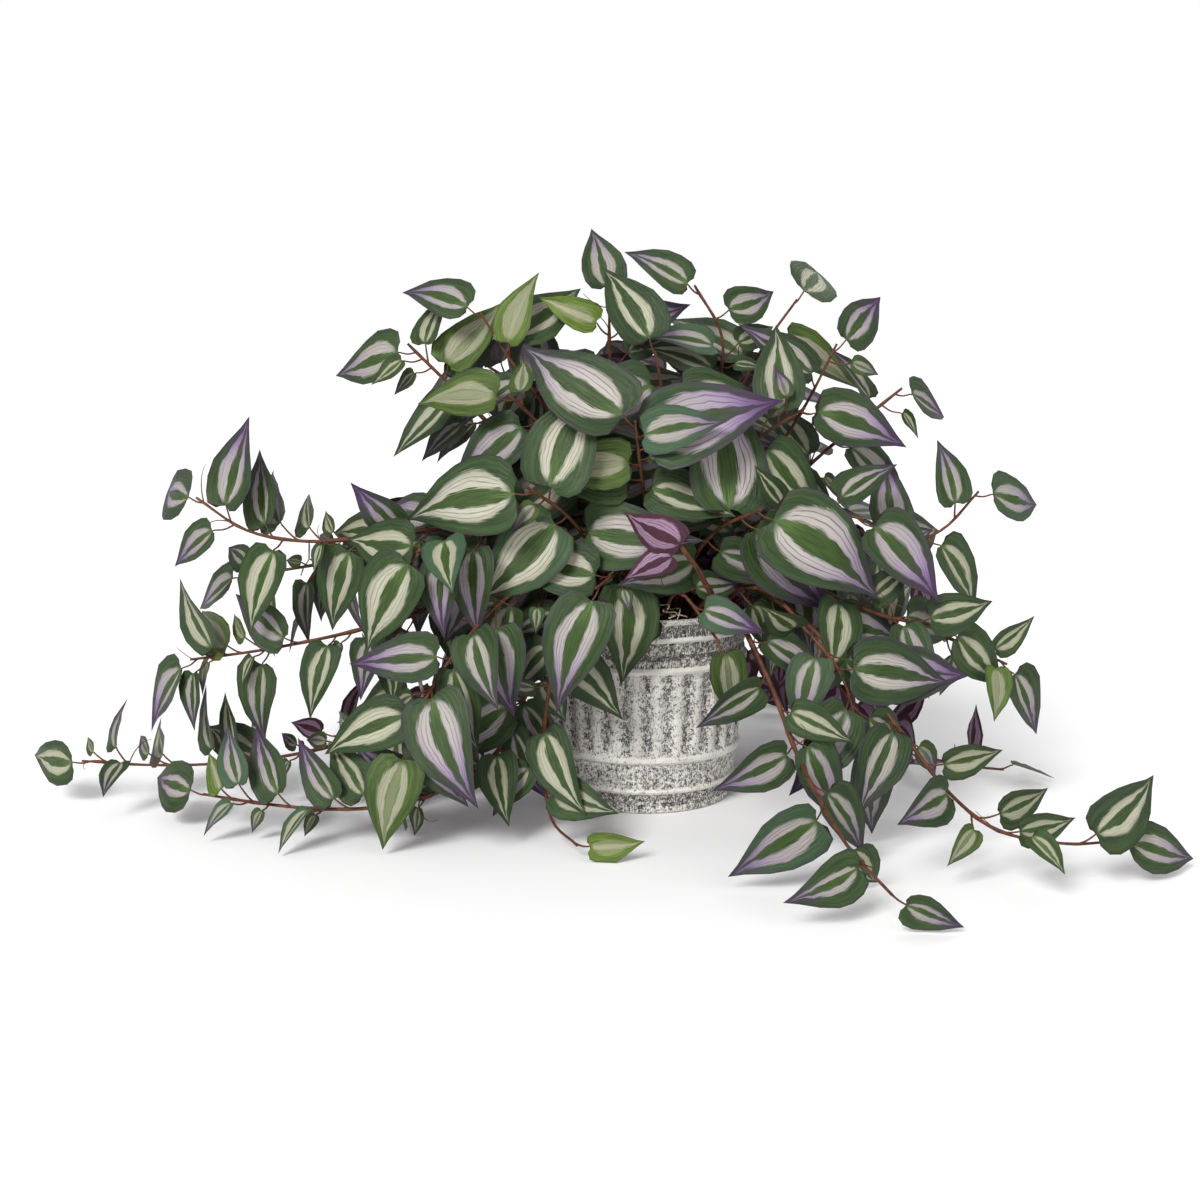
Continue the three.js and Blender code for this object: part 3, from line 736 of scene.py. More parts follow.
def makeCrumbs(settings):
    chance = random.Random(settings["seed"])
    bpy.ops.mesh.primitive_ico_sphere_add(subdivisions=1, radius=0.5)
    crumb = bpy.context.object
    editOnly(crumb)
    bpy.ops.mesh.select_all(action="SELECT")
    bpy.ops.transform.vertex_random(offset=settings["roughness"], uniform=settings["evenness"],
                                    seed=settings["seed"])
    finishEdit()
    crumb.data.materials.append(earth)
    copies = []
    for number in range(settings["count"]):
        radius = settings["within"] * math.sqrt(chance.random())
        angle = chance.uniform(0, math.tau)
        size = chance.uniform(*settings["size"])
        mound = settings["moundRise"] * (1 - (radius / settings["moundRadius"]) ** 2)
        height = settings["moundFoot"] + mound + settings["sink"] * size
        turnAngle = chance.uniform(0, math.tau)
        turn = Matrix.Rotation(turnAngle, 4, Vector((chance.random(), chance.random(), 1)).normalized())
        spot = Vector((radius * math.cos(angle), radius * math.sin(angle), height)) * mm
        scale = Matrix.Diagonal((size * mm, size * mm, settings["flatness"] * size * mm, 1))
        copy = bpy.data.objects.new(f"crumb_{number}", crumb.data.copy())
        copy.data.transform(Matrix.Translation(spot) @ turn @ scale)
        bpy.context.collection.objects.link(copy)
        copies.append(copy)
    bpy.data.objects.remove(crumb)
    settle(joinPieces(copies), "soil_crumbs", "soil")


woolSet = {
    "strands": 110,
    "angle": (205, 292),
    "radius": (46, 67),
    "level": 106,
    "heap": 7,              # how high the strands lie over one another
    "rimFrom": 50,          # beyond this radius they climb the rim
    "rimSlope": 15 / 14,
    "steps": 9,
    "reach": 15,
    "turn": 0.5,
    "lift": (-0.15, 0.25),
    "liftChange": (-0.35, 0.3),
    "overRim": 68,          # beyond this radius they hang
    "hang": -0.3,
    "thickness": (0.28, 0.5),
    "seed": 9,
}


def makeWoodWool(settings):
    chance = random.Random(settings["seed"])
    lines = []
    for _ in range(settings["strands"]):
        angle = math.radians(chance.uniform(*settings["angle"]))
        radius = chance.uniform(*settings["radius"])
        climb = settings["rimSlope"] * max(0.0, radius - settings["rimFrom"])
        level = settings["level"] + climb + chance.uniform(0, settings["heap"])
        place = Vector((radius * math.cos(angle), radius * math.sin(angle), level))
        heading = chance.uniform(0, math.tau)
        turn = chance.uniform(-settings["turn"], settings["turn"])
        lift = chance.uniform(*settings["lift"])
        thickness = chance.uniform(*settings["thickness"])
        line = []
        for _ in range(settings["steps"]):
            line.append((place * mm, thickness * mm))
            direction = Vector((math.cos(heading), math.sin(heading), lift))
            place = place + direction * settings["reach"] / settings["steps"]
            heading += turn
            lift += chance.uniform(*settings["liftChange"])
            if place.xy.length > settings["overRim"]:
                lift = settings["hang"]
        lines.append(line)
    settle(makeTubes("wood_wool", lines, straw, 0), "wood_wool", "soil")


makeSoil(soilSet)
makeCrumbs(crumbSet)
makeWoodWool(woolSet)
print("the soil, its crumbs and the wood wool are in the pot")


# leaf blades: each kind is modelled once, one unit long, with its tip at y = 1

bladeSet = {
    # each row: where its middle is, half its width and where its ends are, the first one at the stalk
    "rows": {
        "large": [(0.0, 0.095, -0.045), (0.05, 0.205, -0.032), (0.12, 0.279, 0.04), (0.22, 0.312, 0.16),
                  (0.34, 0.31, 0.305), (0.48, 0.272, 0.465), (0.63, 0.2, 0.625), (0.77, 0.114, 0.768),
                  (0.89, 0.043, 0.89)],
        "small": [(0.0, 0.1, -0.045), (0.06, 0.22, -0.02), (0.16, 0.29, 0.09), (0.31, 0.308, 0.265),
                  (0.48, 0.268, 0.46), (0.67, 0.178, 0.66), (0.86, 0.062, 0.86)],
    },
    "columns": 4,
    "lobeBend": 1.6,        # above 1, a row bends back only near its ends
    "thickness": 0.007,
    "joinWithin": 1e-5,
    "creaseAngle": 60,
}


def makeBlade(kind, settings):
    columns, rows = settings["columns"], settings["rows"][kind]
    bpy.ops.mesh.primitive_grid_add(x_subdivisions=columns, y_subdivisions=len(rows), size=1, calc_uvs=True)
    blade = bpy.context.object
    blade.name = kind + "_blade"
    blade.data.uv_layers[0].name = "leafMap"
    spots = {}
    for vertex in blade.data.vertices:
        x, y, _ = vertex.co
        spots[vertex.index] = (round((y + 0.5) * len(rows)), round(x * columns))
    editOnly(blade)
    # each pair of vertices is drawn to the outline, and the ends of the first rows back into two lobes
    for row, (middle, halfWidth, end) in enumerate(rows):
        was = row / len(rows) - 0.5
        for column in range(columns // 2 + 1):
            outward = 2 * column / columns
            pick(blade, lambda vertex: spots[vertex.index] in ((row, column), (row, -column)))
            bpy.ops.transform.resize(value=(2 * halfWidth, 1, 1), center_override=(0, was, 0))
            place = middle + (end - middle) * outward ** settings["lobeBend"]
            bpy.ops.transform.translate(value=(0, place - was, 0))
    pick(blade, lambda vertex: spots[vertex.index][0] == len(rows))
    bpy.ops.mesh.merge(type="CENTER")
    bpy.ops.transform.translate(value=(0, 0.5, 0))
    finishEdit()
    for corner, spot in zip(blade.data.loops, blade.data.uv_layers[0].data):
        spot.uv.y = min(1, max(0, blade.data.vertices[corner.vertex_index].co.y))
    blade.data.materials.append(leafTop)
    blade.data.materials.append(leafUnder)
    # the underside: a copy, turned over and let down inside the shared margin
    editOnly(blade, "FACE")
    bpy.ops.mesh.select_all(action="SELECT")
    bpy.ops.mesh.duplicate()
    bpy.ops.mesh.flip_normals()
    blade.active_material_index = 1
    bpy.ops.object.material_slot_assign()
    shape = bmesh.from_edit_mesh(blade.data)
    inner = {v.index for v in shape.verts if v.select and not v.is_boundary}
    bpy.ops.mesh.select_mode(type="VERT")
    pick(blade, lambda vertex: vertex.index in inner)
    bpy.ops.transform.translate(value=(0, 0, -settings["thickness"]))
    bpy.ops.mesh.select_all(action="SELECT")
    bpy.ops.mesh.remove_doubles(threshold=settings["joinWithin"])
    finishEdit()
    shadeByAngle(blade, settings["creaseAngle"])
    return blade


blades = {kind: makeBlade(kind, bladeSet) for kind in bladeSet["rows"]}
print("blades:", {kind: len(blade.data.polygons) for kind, blade in blades.items()})


# the stems, in millimetres: each one's name, its root, how many leaves it has, its largest and its
# smallest blade, how far its blades turn to the front, and the points that it runs through
frontStems = {
    "crown": [
        ("front_left", (-14, -22), 7, (92, 76), 1.3, [(-32, -52, 160), (-54, -80, 190), (-68, -94, 200)]),
        ("front_middle", (0, -26), 7, (92, 76), 1.3, [(0, -50, 170), (-5, -74, 212), (-8, -86, 236)]),
        ("front_right", (14, -24), 7, (92, 76), 1.3, [(28, -54, 158), (48, -80, 180), (62, -94, 188)]),
        ("front_low", (-6, -40), 5, (80, 64), 1.3, [(-12, -64, 148), (-20, -84, 152), (-30, -98, 144)]),
        ("left_shoulder", (-28, -20), 8, (86, 61), 1.15,
         [(-64, -50, 164), (-102, -80, 172), (-130, -96, 164)]),
        ("right_shoulder", (26, -20), 8, (84, 60), 1.1, [(60, -50, 172), (94, -76, 186), (120, -90, 182)]),
        ("upper_front", (5, -14), 8, (80, 60), 1.1, [(5, -30, 200), (10, -44, 250), (4, -50, 274)]),
        ("upper_left", (-12, -12), 8, (78, 56), 1.05, [(-36, -34, 196), (-62, -50, 232), (-80, -58, 250)]),
        ("upper_right", (18, -13), 8, (78, 56), 1.1, [(42, -36, 196), (70, -50, 228), (90, -56, 242)]),
    ],
    "upright": [
        ("left", (-20, 4), 9, (70, 48), 0.9,
         [(-52, 0, 188), (-92, -8, 228), (-124, -12, 260), (-142, -14, 278)]),
        ("left_inner", (-9, -3), 9, (66, 54), 1.0,
         [(-28, -10, 190), (-62, -18, 244), (-88, -20, 278), (-98, -20, 296)]),
        ("top", (-2, 4), 9, (62, 42), 1.0,
         [(-8, -2, 186), (-18, -8, 250), (-25, -10, 286), (-22, -14, 304)]),
        ("top_right", (5, -3), 9, (64, 44), 1.05,
         [(20, -8, 190), (44, -14, 256), (42, -18, 294), (28, -20, 312)]),
        ("right_inner", (13, 4), 9, (70, 54), 1.0,
         [(34, 2, 190), (60, -2, 256), (82, -6, 294), (90, -8, 304)]),
        ("right", (23, -6), 8, (68, 46), 0.9,
         [(56, -14, 178), (88, -22, 230), (104, -24, 262), (112, -24, 278)]),
        ("right_outer", (28, 6), 8, (64, 42), 0.9,
         [(72, -4, 178), (110, -12, 214), (136, -16, 240), (152, -20, 252)]),
    ],
    "spreading": [
        ("left_high", (-28, -8), 11, (72, 50), 1.0,
         [(-62, -30, 170), (-125, -60, 172), (-190, -65, 166), (-232, -60, 172), (-262, -52, 190)]),
        ("left_middle", (-36, 8), 10, (66, 48), 0.9,
         [(-80, -14, 162), (-140, -26, 158), (-200, -30, 147), (-242, -24, 140)]),
        ("left_low", (-40, -10), 11, (68, 50), 0.95,
         [(-80, -34, 140), (-135, -56, 122), (-190, -58, 108), (-240, -48, 97), (-272, -42, 92)]),
        ("left_drape", (-30, -36), 9, (88, 60), 1.1,
         [(-60, -70, 144), (-96, -98, 122), (-122, -112, 88), (-136, -116, 54)]),
        ("right_high", (34, -4), 10, (68, 50), 0.9,
         [(72, -26, 156), (116, -46, 157), (156, -48, 163), (184, -42, 177), (196, -36, 192)]),
        ("right_middle", (34, -16), 10, (66, 48), 0.95,
         [(70, -46, 148), (108, -68, 134), (144, -76, 122), (174, -72, 117)]),
        ("right_low", (44, -4), 10, (64, 46), 0.9,
         [(84, -18, 138), (126, -30, 126), (164, -46, 112), (196, -54, 100), (212, -56, 92)]),
        ("right_drape", (32, -34), 9, (86, 58), 1.1,
         [(56, -60, 142), (84, -92, 124), (108, -112, 94), (116, -120, 64)]),
        ("front_short", (8, -46), 4, (58, 44), 1.0, [(14, -66, 138), (26, -84, 128), (40, -94, 112)]),
    ],
    "trailing": [
        ("left_long", (-46, 4), 12, (64, 46), 0.9,
         [(-66, -6, 131), (-108, -18, 84), (-152, -26, 50), (-200, -32, 34), (-250, -36, 27),
          (-300, -38, 26), (-342, -36, 28)]),
        ("left_front", (-38, -27), 12, (62, 46), 0.9,
         [(-52, -52, 134), (-68, -74, 88), (-82, -84, 52), (-107, -96, 32), (-144, -115, 24),
          (-184, -112, 21), (-224, -97, 20), (-258, -80, 20)]),
        ("front_left", (-24, -42), 9, (52, 44), 0.9,
         [(-38, -62, 140), (-54, -86, 96), (-60, -92, 50), (-58, -98, 20), (-50, -118, 9),
          (-40, -138, 8)]),
        ("right_front", (22, -42), 11, (66, 48), 0.9,
         [(40, -62, 136), (62, -104, 104), (78, -140, 62), (90, -185, 40), (101, -218, 26),
          (113, -244, 18)]),
        ("right_long", (42, -20), 12, (66, 48), 0.9,
         [(62, -44, 137), (106, -92, 106), (146, -130, 58), (164, -165, 38), (186, -190, 29),
          (218, -184, 24), (243, -168, 20)]),
    ],
}

# the back and the sides follow a rule: stems at an angle from +X, out to a reach
backRules = {
    "upright": {"rootRadius": 16, "leaves": 8, "blades": (74, 48), "startRadius": 36,
                "heights": (176, 212, 238, 256, 268), "angles": (30, 60, 88, 116, 148),
                "reaches": (112, 96, 84, 100, 116), "sways": (8, -8, 8, -8, 8)},
    "spreading": {"rootRadius": 30, "leaves": 8, "blades": (72, 42), "startRadius": 66,
                  "heights": (152, 168, 164, 148, 122), "angles": (20, 46, 70, 94, 118, 142, 164),
                  "reaches": (205, 196, 190, 186, 190, 200, 208), "sways": (6, -7, 7, -6, 6, -7, 6)},
    "trailing": {"rootRadius": 43, "leaves": 9, "blades": (62, 38), "startRadius": 67,
                 "heights": (133, 88, 38, 12, 8), "angles": (14, 52, 92, 130, 163),
                 "reaches": (232, 250, 225, 248, 236), "sways": (-10, 9, -8, 10, -9)},
}


def describeStem(kind, name, root, leaves, bladeLengths, front, route):
    return {"name": f"{kind}_stem_{name}", "root": root, "leaves": leaves, "blades": bladeLengths,
            "front": front, "route": route}


def backStem(kind, rule, number):
    route = []
    last = len(rule["heights"]) - 1
    start, reach = rule["startRadius"], rule["reaches"][number]
    for step, height in enumerate(rule["heights"]):
        along = step / last
        radius = start + (reach - start) * along
        angle = math.radians(rule["angles"][number] + rule["sways"][number] * along * along)
        route.append((radius * math.cos(angle), radius * math.sin(angle), height))
    angle = math.radians(rule["angles"][number])
    root = (rule["rootRadius"] * math.cos(angle), rule["rootRadius"] * math.sin(angle))
    return describeStem(kind, f"back_{number + 1}", root, rule["leaves"], rule["blades"], 0, route)


stems = [describeStem(kind, *row) for kind, rows in frontStems.items() for row in rows]
for kind, rule in backRules.items():
    stems += [backStem(kind, rule, number) for number in range(len(rule["angles"]))]


# how the plant grows: the same rule as the solids, so that each fine leaf lies in its plain one

growSet = {
    "rootDepth": 72, "stemLeavesSoil": 106, "rootLean": 1.04, "stemStep": 37, "stemTipShare": 0.09,
    "bareStem": 62, "mostBareShare": 0.42, "stalkLength": 11, "stalkForward": 0.6, "tipStalkForward": 0.9,
    "stalkLift": 0.55, "foldSlope": 0.22, "arch": (0.056, 0.168), "size": (0.9, 0.2),
    "swing": (0.6, 0.7, 0.03, 0.2), "droop": (0.15, 0.5), "wander": (0.7, 0.07), "spacing": 0.35,
    "outwardRise": 0.5, "upwardTurn": 0.25, "lowHeight": 45, "lowUpwardTurn": 0.3, "attempts": 34,
    "shrink": 0.975, "domeHeight": 70,
    "match": 0.04,          # how near a leaf's tip is to a corner of the solid that holds it
}


def draw(*given):
    # a number from 0 to 1 that depends only on the stem, the leaf, the attempt and the purpose given
    size = 2 ** 32
    mixed = 0
    for number, factor in zip(given, (73856093, 19349663, 83492791, 40503019)):
        mixed ^= (number + 1) * factor % size
    for shift, factor in ((15, 739177), (13, 461845)):
        mixed = (mixed ^ (mixed >> shift)) * factor % size
    return (mixed ^ (mixed >> 16)) / size


def curvePoint(points, t):
    pieces = len(points) - 1
    at = pieces * t
    piece = min(int(at), pieces - 1)
    w = at - piece
    b, c = points[piece], points[piece + 1]
    a = points[piece - 1] if piece > 0 else b + b - c
    d = points[piece + 2] if piece + 2 <= pieces else c + c - b
    slopeB, slopeC = (c - a) * 0.5, (d - b) * 0.5
    return (b * (2 * w ** 3 - 3 * w ** 2 + 1) + slopeB * (w ** 3 - 2 * w ** 2 + w)
            + c * (3 * w ** 2 - 2 * w ** 3) + slopeC * (w ** 3 - w ** 2))


def evenPoints(points, divisions):
    # points at even distances along the curve through the given points
    fine = 200
    places = [curvePoint(points, i / fine) for i in range(fine + 1)]
    lengths = np.concatenate([[0], np.cumsum([(q - p).length for p, q in zip(places, places[1:])])])
    made = []
    for i in range(divisions + 1):
        wanted = i / divisions * lengths[-1]
        at = min(int(np.searchsorted(lengths, wanted, side="right")) - 1, fine - 1)
        beyond = (wanted - lengths[at]) / (lengths[at + 1] - lengths[at])
        made.append(curvePoint(points, (at + beyond) / fine))
    return made, lengths[-1]


def stemRings(stem):
    x, y = stem["root"]
    lean = growSet["rootLean"]
    route = [(x, y, growSet["rootDepth"]), (x * lean, y * lean, growSet["stemLeavesSoil"]), *stem["route"]]
    points = [Vector(point) for point in route]
    length = evenPoints(points, 1)[1]
    return evenPoints(points, math.floor(length / growSet["stemStep"] + 0.5))[0]


def barePart(rings):
    pieces = len(rings) - 1
    return min(growSet["mostBareShare"], growSet["bareStem"] / (growSet["stemStep"] * pieces))


def poseAt(stem, rings, at, length, side, chance, attempt=0, isLast=False, stalkShare=1.0):
    # how a leaf lies that grows at a place on a stem; chance gives a number from 0 to 1 for each purpose
    g = growSet
    ring = int(at)
    place = rings[ring].lerp(rings[ring + 1], at - ring)
    direction = (rings[ring + 1] - rings[ring]).normalized()
    lowness = max(0, 1 - place.z / g["lowHeight"])
    facing = (place - Vector((0, 0, g["domeHeight"]))).normalized()
    facing.z = facing.z * g["outwardRise"] + g["upwardTurn"] + g["lowUpwardTurn"] * lowness
    facing.y -= stem["front"]
    wander = g["wander"][0] + g["wander"][1] * attempt
    facing += Vector((chance(2) - 0.5, chance(3) - 0.5, chance(4) - 0.5)) * wander
    facing.normalize()
    sideways = facing.cross(direction).normalized() * side
    least, spread, perAttempt, atTip = g["swing"]
    turn = atTip * chance(5)
    if not isLast:
        turn = least + spread * chance(5) + perAttempt * attempt * (chance(6) - 0.5)
    hang = (g["droop"][0] + g["droop"][1] * chance(7)) * (1 - lowness)
    tip = direction * math.cos(turn) + sideways * math.sin(turn) - Vector((0, 0, hang))
    tip = (tip - facing * tip.dot(facing)).normalized()
    forward = g["tipStalkForward"] if isLast else g["stalkForward"]
    stalk = (tip * forward + facing * g["stalkLift"]).normalized()
    joint = place + stalk * g["stalkLength"] * stalkShare
    bend = g["arch"][0] + g["arch"][1] * chance(8)
    return {"share": at / (len(rings) - 1), "joint": joint, "tip": tip, "across": facing.cross(tip),
            "facing": facing, "length": length, "bend": bend,
            "point": joint + tip * length - facing * bend * length}


def leafPose(stem, stemNumber, rings, leaf, attempt):
    g = growSet

    def chance(purpose):
        return draw(stemNumber, leaf, attempt, purpose)

    pieces = len(rings) - 1
    bareShare = barePart(rings)
    along = (leaf + g["spacing"] * chance(0)) / (stem["leaves"] - 1 + g["spacing"])
    at = min((bareShare + (1 - bareShare) * along) * pieces, pieces - g["stemTipShare"])
    largest, smallest = stem["blades"]
    size = (g["size"][0] + g["size"][1] * chance(1)) * g["shrink"] ** attempt
    length = (largest + (smallest - largest) * along) * size
    isLast = leaf == stem["leaves"] - 1
    return poseAt(stem, rings, at, length, -1 if leaf % 2 else 1, chance, attempt, isLast)


def grownLeaves(stem, stemNumber, rings):
    # a leaf grew at the first attempt whose tip is a corner of the plain solid
    corners = np.array([v.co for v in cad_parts[stem["name"]].data.vertices]) / mm
    grown = []
    for leaf in range(stem["leaves"]):
        for attempt in range(growSet["attempts"]):
            pose = leafPose(stem, stemNumber, rings, leaf, attempt)
            if np.abs(corners - np.array(pose["point"])).max(axis=1).min() < growSet["match"]:
                grown.append(pose)
                break
    return grown


leafSet = {
    "largeFrom": 58,        # blades longer than this use the finer model
    "foldAtRib": 0.38,      # how steeply the halves rise from the midrib
    "doming": 0.55,         # how much they curve over towards their margins
    "wave": (0.026, 8),     # how far and how often the margins wave
    "waveApart": 0.9,       # how much the two halves' waves differ
    "waveWide": 0.3,        # half a blade's width, where they are as high as that
    "sweep": 0.05,          # how far a blade curves to one side
    "curl": (0.16, 0.62),   # how far a tip hooks under, and from where on
    "curlShare": (0.2, 1),
    "width": (0.92, 1.08),
    "clearance": (0, 0, 0.3),  # how far inside the low sides of the solids' box every point stays
    "limeWithin": (58, 0.84),  # only blades shorter than this, and beyond this share of a stem, may be lime
    "limeShare": 0.24,
    "lime": (0.3, 0.9),
    "tinyBelow": 25,        # blades shorter than this are all a little lime green
    "tinyLime": (0.0, 0.35),
    "blushShare": (0.28, 0.62),  # how many leaves are flushed with purple, at a stem's root and at its end
    "blush": (0.5, 1.0),
    "leastBlush": (0, 0.15),
    "sizes": (40, 80),      # blades as long as these count as small and as large in the finish
}


def makeLeaf(pose, chance):
    s = leafSet
    mesh = blades["large" if pose["length"] > s["largeFrom"] else "small"].data.copy()
    count = len(mesh.vertices)
    place = np.empty(count * 3)
    mesh.vertices.foreach_get("co", place)
    x, y, z = place.reshape(-1, 3).T
    wide = np.abs(x)
    phase = chance.uniform(0, math.tau)
    height, often = s["wave"]
    curl, curlFrom = s["curl"]
    lift = s["foldAtRib"] * wide - s["doming"] * wide ** 2 - pose["bend"] * np.maximum(y, 0) ** 2
    lift += height * np.sin(y * often + phase + np.sign(x) * s["waveApart"]) * (wide / s["waveWide"]) ** 2
    lift -= chance.uniform(*s["curlShare"]) * curl * np.maximum(y - curlFrom, 0) * (1 - y)
    x = x * chance.uniform(*s["width"])
    x = x + chance.uniform(-1, 1) * s["sweep"] * np.sin(math.pi * np.clip(y, 0, 1))
    turned = np.array([pose["across"], pose["tip"], pose["facing"]]) * pose["length"]
    placed = np.stack([x, y, z + lift], axis=1) @ turned + np.array(pose["joint"])
    placed = np.clip(placed, boxLow + s["clearance"], boxHigh)
    mesh.vertices.foreach_set("co", (placed * mm).ravel())
    youth = 0.0
    below, beyond = s["limeWithin"]
    isYoung = pose["length"] < below and pose["share"] > beyond
    if pose["length"] < s["tinyBelow"]:
        youth = chance.uniform(*s["tinyLime"])
    elif isYoung and chance.random() < s["limeShare"]:
        youth = chance.uniform(*s["lime"])
    atRoot, atEnd = s["blushShare"]
    isFlushed = youth < s["lime"][0] and chance.random() < atRoot + (atEnd - atRoot) * pose["share"]
    blush = chance.uniform(*s["blush" if isFlushed else "leastBlush"])
    small, large = s["sizes"]
    size = min(1.0, max(0.0, (pose["length"] - small) / (large - small)))
    values = {"leafYouth": youth, "leafBlush": blush, "leafSize": size, "leafChance": chance.random()}
    for name, value in values.items():
        setAttribute(mesh, name, [value] * count)
    leaf = bpy.data.objects.new("leaf", mesh)
    bpy.context.collection.objects.link(leaf)
    return leaf


youngSet = {
    "every": 7,             # a place is tried at each of these distances along a stem
    "everyAtLeft": 2.6,     # the same on the stems that end far to the left, where the plant is fuller
    "farLeft": -120,
    "everyAtRight": 22,     # and on those that end far to the right, where it is thinner
    "farRight": 100,
    "smallShare": 0.24,     # how many of them are quite small
    "small": (13, 24),
    "share": (0.58, 0.92),  # the length of the others, as a share of the grown leaves beside them
    "longest": 50,
    "lastAlong": 0.95,
    "stalkShare": (0.55, 1.5),
    "clearance": 6.5,
    "clearOfPot": (74, 124),  # no nearer to the middle than this, below this height
    "clearFront": ((-34, 78), -40, 124),  # from x to x, in front of y and below z, the pot is to be seen
    "floor": 4,
    "inset": 1.5,           # how far inside the solids' own box they stay
    "seed": 21,
}
# places on a blade, across and along, that others keep clear of
bladeSpots = ((0, 0.05), (0, 0.3), (0, 0.55), (0, 0.8), (0, 1), (-0.22, 0.2), (0.22, 0.2),
              (-0.18, 0.45), (0.18, 0.45))
drawsPerLeaf = 9


def leafPoints(pose):
    made = []
    for x, y in bladeSpots:
        lift = growSet["foldSlope"] * abs(x) - pose["bend"] * y * y
        offset = pose["across"] * x + pose["tip"] * y + pose["facing"] * lift
        made.append(pose["joint"] + offset * pose["length"])
    return np.array(made)


def hasRoom(points, taken):
    # whether a leaf at these points is clear of the pot, the floor, the box's sides and all other leaves
    s = youngSet
    x, y, z = points.T
    radius, height = s["clearOfPot"]
    (left, right), front, below = s["clearFront"]
    nearPot = (np.hypot(x, y) < radius) & (z < height)
    inFront = (x > left) & (x < right) & (y < front) & (z < below)
    outside = (points < boxLow + s["inset"]) | (points > boxHigh - s["inset"])
    if nearPot.any() or inFront.any() or outside.any() or z.min() < s["floor"]:
        return False
    apart = np.linalg.norm(np.concatenate(taken)[:, None] - points[None], axis=2).min()
    return apart > s["clearance"]


def youngLeaves(stem, rings, taken, chance):
    # smaller leaves between the grown ones, where there is room
    s = youngSet
    pieces = len(rings) - 1
    bareShare = barePart(rings)
    made = []
    endX, endY, _ = stem["route"][-1]
    every = s["everyAtLeft"] if endX < s["farLeft"] else s["every"]
    if endX > s["farRight"] and endY < 0:
        every = s["everyAtRight"]
    largest, smallest = stem["blades"]
    for _ in range(round(pieces * growSet["stemStep"] * (1 - bareShare) / every)):
        along = chance.uniform(0, s["lastAlong"])
        grown = largest + (smallest - largest) * along
        length = min(s["longest"], grown * chance.uniform(*s["share"]))
        if chance.random() < s["smallShare"]:
            length = chance.uniform(*s["small"])
        draws = [chance.random() for _ in range(drawsPerLeaf)]
        at = (bareShare + (1 - bareShare) * along) * pieces
        side = chance.choice((-1, 1))
        stalkShare = chance.uniform(*s["stalkShare"])
        pose = poseAt(stem, rings, at, length, side, draws.__getitem__, stalkShare=stalkShare)
        points = leafPoints(pose)
        if hasRoom(points, taken):
            taken.append(points)
            made.append(pose)
    return made


stemSet = {
    "steps": 5,             # for each piece between two rings
    "radius": (1.7, 0.75),  # at the root and at the end
    "knuckle": (1.4, 2.2),  # how much thicker a joint is, and how far along the stem
    "stalkRadius": (0.62, 0.45),
    "stalkSteps": 6,
    "heel": 0.45,           # how far below a blade its stalk ends
    "underBlade": 0.03,     # and how far along the blade it runs on
    "bow": 0.35,            # how far a stalk bends, as a share of its length
    "bowAway": (0.08, 0.25),  # how much of that is away from the blade's face, and how much downwards
    "tendrilShare": 0.14,
    "tendrilAlong": (-0.6, 0.3),  # how far a tendril heads along its leaf, up from its face and anywhere
    "tendrilUp": 0.7,
    "tendrilStray": (-0.6, 0.6),
    "tendrilSteps": 10,
    "tendrilReach": (2.4, 3.4),
    "tendrilTurn": (0.12, 0.4),
    "tendrilRadius": (0.42, 0.03),  # at the joint, and how much less at each step
    "tendrilFloor": 1.0,
}


def makeStemLines(rings, leaves, chance):
    # the stem itself, a stalk for each leaf and a few tendrils, as lines of (place, radius)
    s = stemSet
    pieces = len(rings) - 1
    steps = pieces * s["steps"]
    thick, thin = s["radius"]
    knuckle, knuckleReach = s["knuckle"]
    line = []
    for i in range(steps + 1):
        share = i / steps
        radius = thick + (thin - thick) * share
        near = min([abs(share - leaf["share"]) for leaf in leaves] or [1]) * pieces * growSet["stemStep"]
        radius *= 1 + (knuckle - 1) * math.exp(-(near / knuckleReach) ** 2)
        line.append((curvePoint(rings, share) * mm, radius * mm))
    lines = [line]
    thick, thin = s["stalkRadius"]
    awayFromFace, down = s["bowAway"]
    for leaf in leaves:
        start = curvePoint(rings, leaf["share"])
        heel = leaf["joint"] - leaf["facing"] * s["heel"]
        bow = (heel - start).length * s["bow"]
        middle = start.lerp(heel, 0.5) - leaf["facing"] * awayFromFace * bow - Vector((0, 0, down * bow))
        end = heel + leaf["tip"] * s["underBlade"] * leaf["length"]
        path = evenPoints([start, middle, heel, end], s["stalkSteps"])[0]
        radii = [thick + (thin - thick) * i / s["stalkSteps"] for i in range(len(path))]
        lines.append([(point * mm, radius * mm) for point, radius in zip(path, radii)])
        if chance.random() < s["tendrilShare"]:
            lines.append(makeTendril(start, leaf, chance))
    return lines


def makeTendril(start, leaf, chance):
    # a thin curled tendril from a joint
    s = stemSet
    heading = leaf["tip"] * chance.uniform(*s["tendrilAlong"]) + leaf["facing"] * s["tendrilUp"]
    heading = (heading + Vector([chance.uniform(*s["tendrilStray"]) for _ in range(3)])).normalized()
    axis = heading.orthogonal().normalized()
    turn = chance.uniform(*s["tendrilTurn"]) * chance.choice((-1, 1))
    thick, thinner = s["tendrilRadius"]
    place, line = start.copy(), []
    for step in range(s["tendrilSteps"]):
        line.append((place * mm, (thick - thinner * step) * mm))
        place = place + heading * chance.uniform(*s["tendrilReach"])
        place.z = max(place.z, s["tendrilFloor"])
        heading.rotate(Matrix.Rotation(turn, 3, axis))
    return line


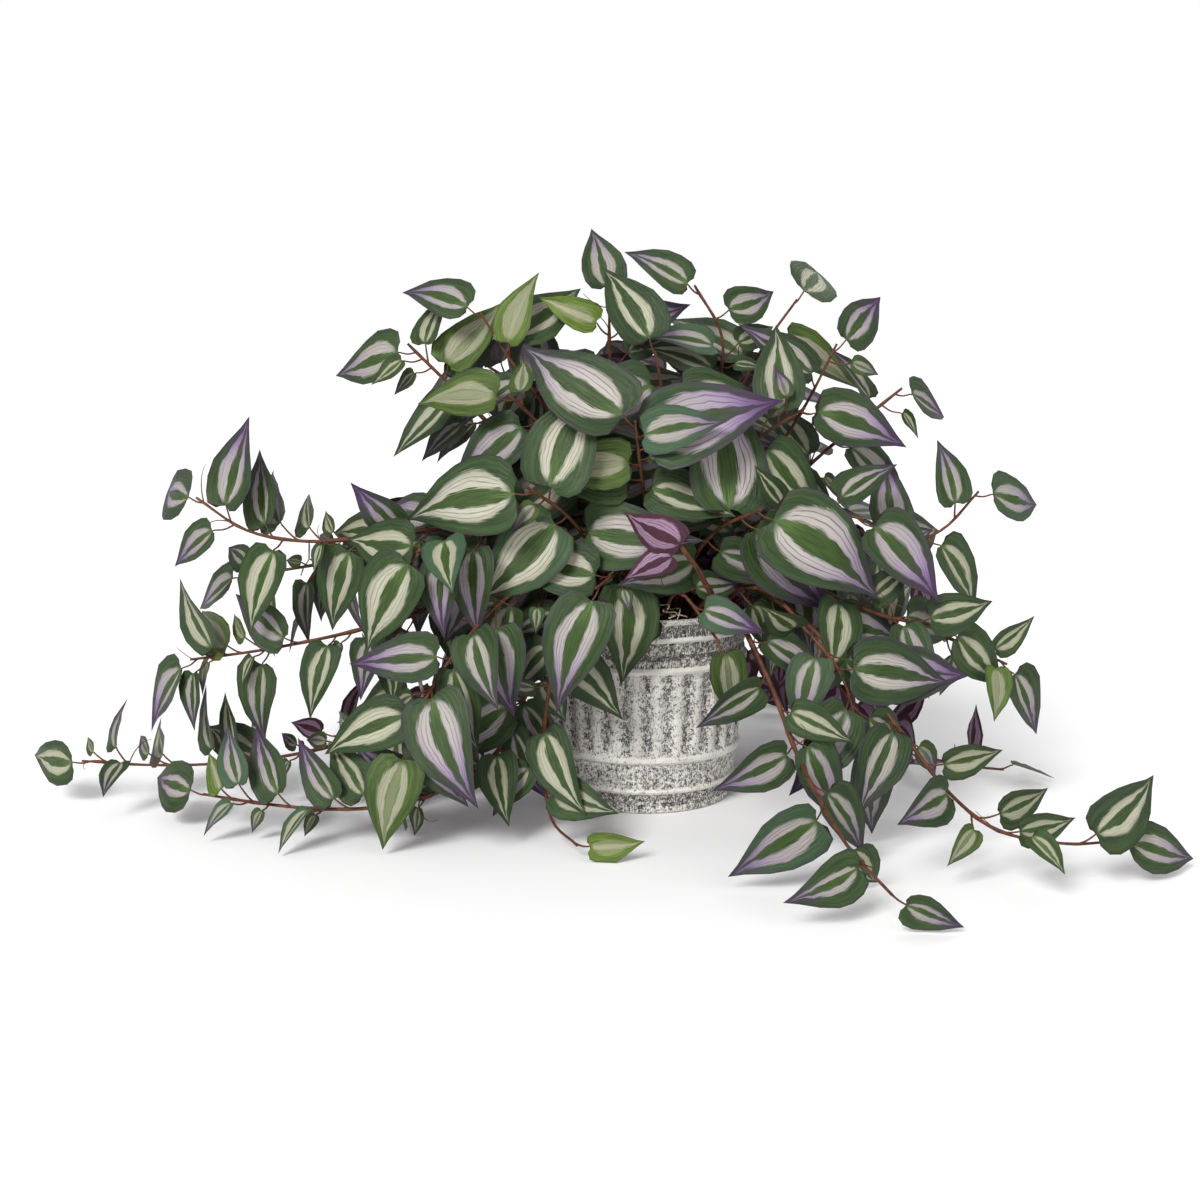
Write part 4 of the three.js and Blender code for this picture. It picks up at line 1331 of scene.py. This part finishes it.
allRings = [stemRings(stem) for stem in stems]
allLeaves = [grownLeaves(stem, number, rings) for number, (stem, rings) in enumerate(zip(stems, allRings))]
taken = [leafPoints(pose) for leaves in allLeaves for pose in leaves]
print(len(stems), "stems carry", len(taken), "leaves")
youngChance = random.Random(youngSet["seed"])
for stem, rings, leaves in zip(stems, allRings, allLeaves):
    leaves += youngLeaves(stem, rings, taken, youngChance)
print("with the young ones,", len(taken))
firstSeed = 500
for number, (stem, rings, leaves) in enumerate(zip(stems, allRings, allLeaves)):
    chance = random.Random(firstSeed + number)
    stalks = makeTubes(stem["name"] + "_bark", makeStemLines(rings, leaves, chance), stemBark)
    pieces = [stalks] + [makeLeaf(pose, chance) for pose in leaves]
    settle(joinPieces(pieces), stem["name"] + "_foliage", "leaf", stem["name"])


# a young shoot at the front, whose leaves show their undersides

shootSet = {
    "route": [(30, -42, 104), (38, -68, 128), (31, -87, 147), (18, -95, 167)],
    "steps": 24,
    "strands": 3,
    "apart": 1.5,
    "closing": 0.6,         # how much closer the strands are at the end
    "turns": 1.3,
    "thickness": (1.2, 0.8),
    # where each leaf starts, where it points, which way its upper face looks and how long it is
    "leaves": [((17, -96, 168), (-0.62, -0.1, 0.42), (0.12, 1, 0.2), 38),
               ((13, -92, 161), (-0.85, 0.0, -0.35), (0.1, 1, 0.3), 30)],
    "bend": 0.16,
    "share": 0.5,           # how far along a stem the leaves' colours are drawn for
    "seed": 12,
}


def makeShoot(settings):
    chance = random.Random(settings["seed"])
    steps = settings["steps"]
    middle = evenPoints([Vector(point) for point in settings["route"]], steps)[0]
    thick, thin = settings["thickness"]
    lines = []
    for strand in range(settings["strands"]):
        line = []
        for step, point in enumerate(middle):
            along = step / steps
            angle = math.tau * (along * settings["turns"] + strand / settings["strands"])
            apart = settings["apart"] * (1 - settings["closing"] * along)
            offset = Vector((math.cos(angle), 0, math.sin(angle))) * apart
            line.append(((point + offset) * mm, (thick + (thin - thick) * along) * mm))
        lines.append(line)
    pieces = [makeTubes("shoot_strands", lines, stemBark)]
    for joint, tip, facing, length in settings["leaves"]:
        tip = Vector(tip).normalized()
        facing = Vector(facing)
        facing = (facing - tip * facing.dot(tip)).normalized()
        pose = {"joint": Vector(joint), "tip": tip, "across": facing.cross(tip), "facing": facing,
                "length": length, "bend": settings["bend"], "share": settings["share"]}
        pieces.append(makeLeaf(pose, chance))
    settle(joinPieces(pieces), "front_shoot", "leaf")


makeShoot(shootSet)
for blade in blades.values():
    bpy.data.objects.remove(blade)
print("the foliage is in place")
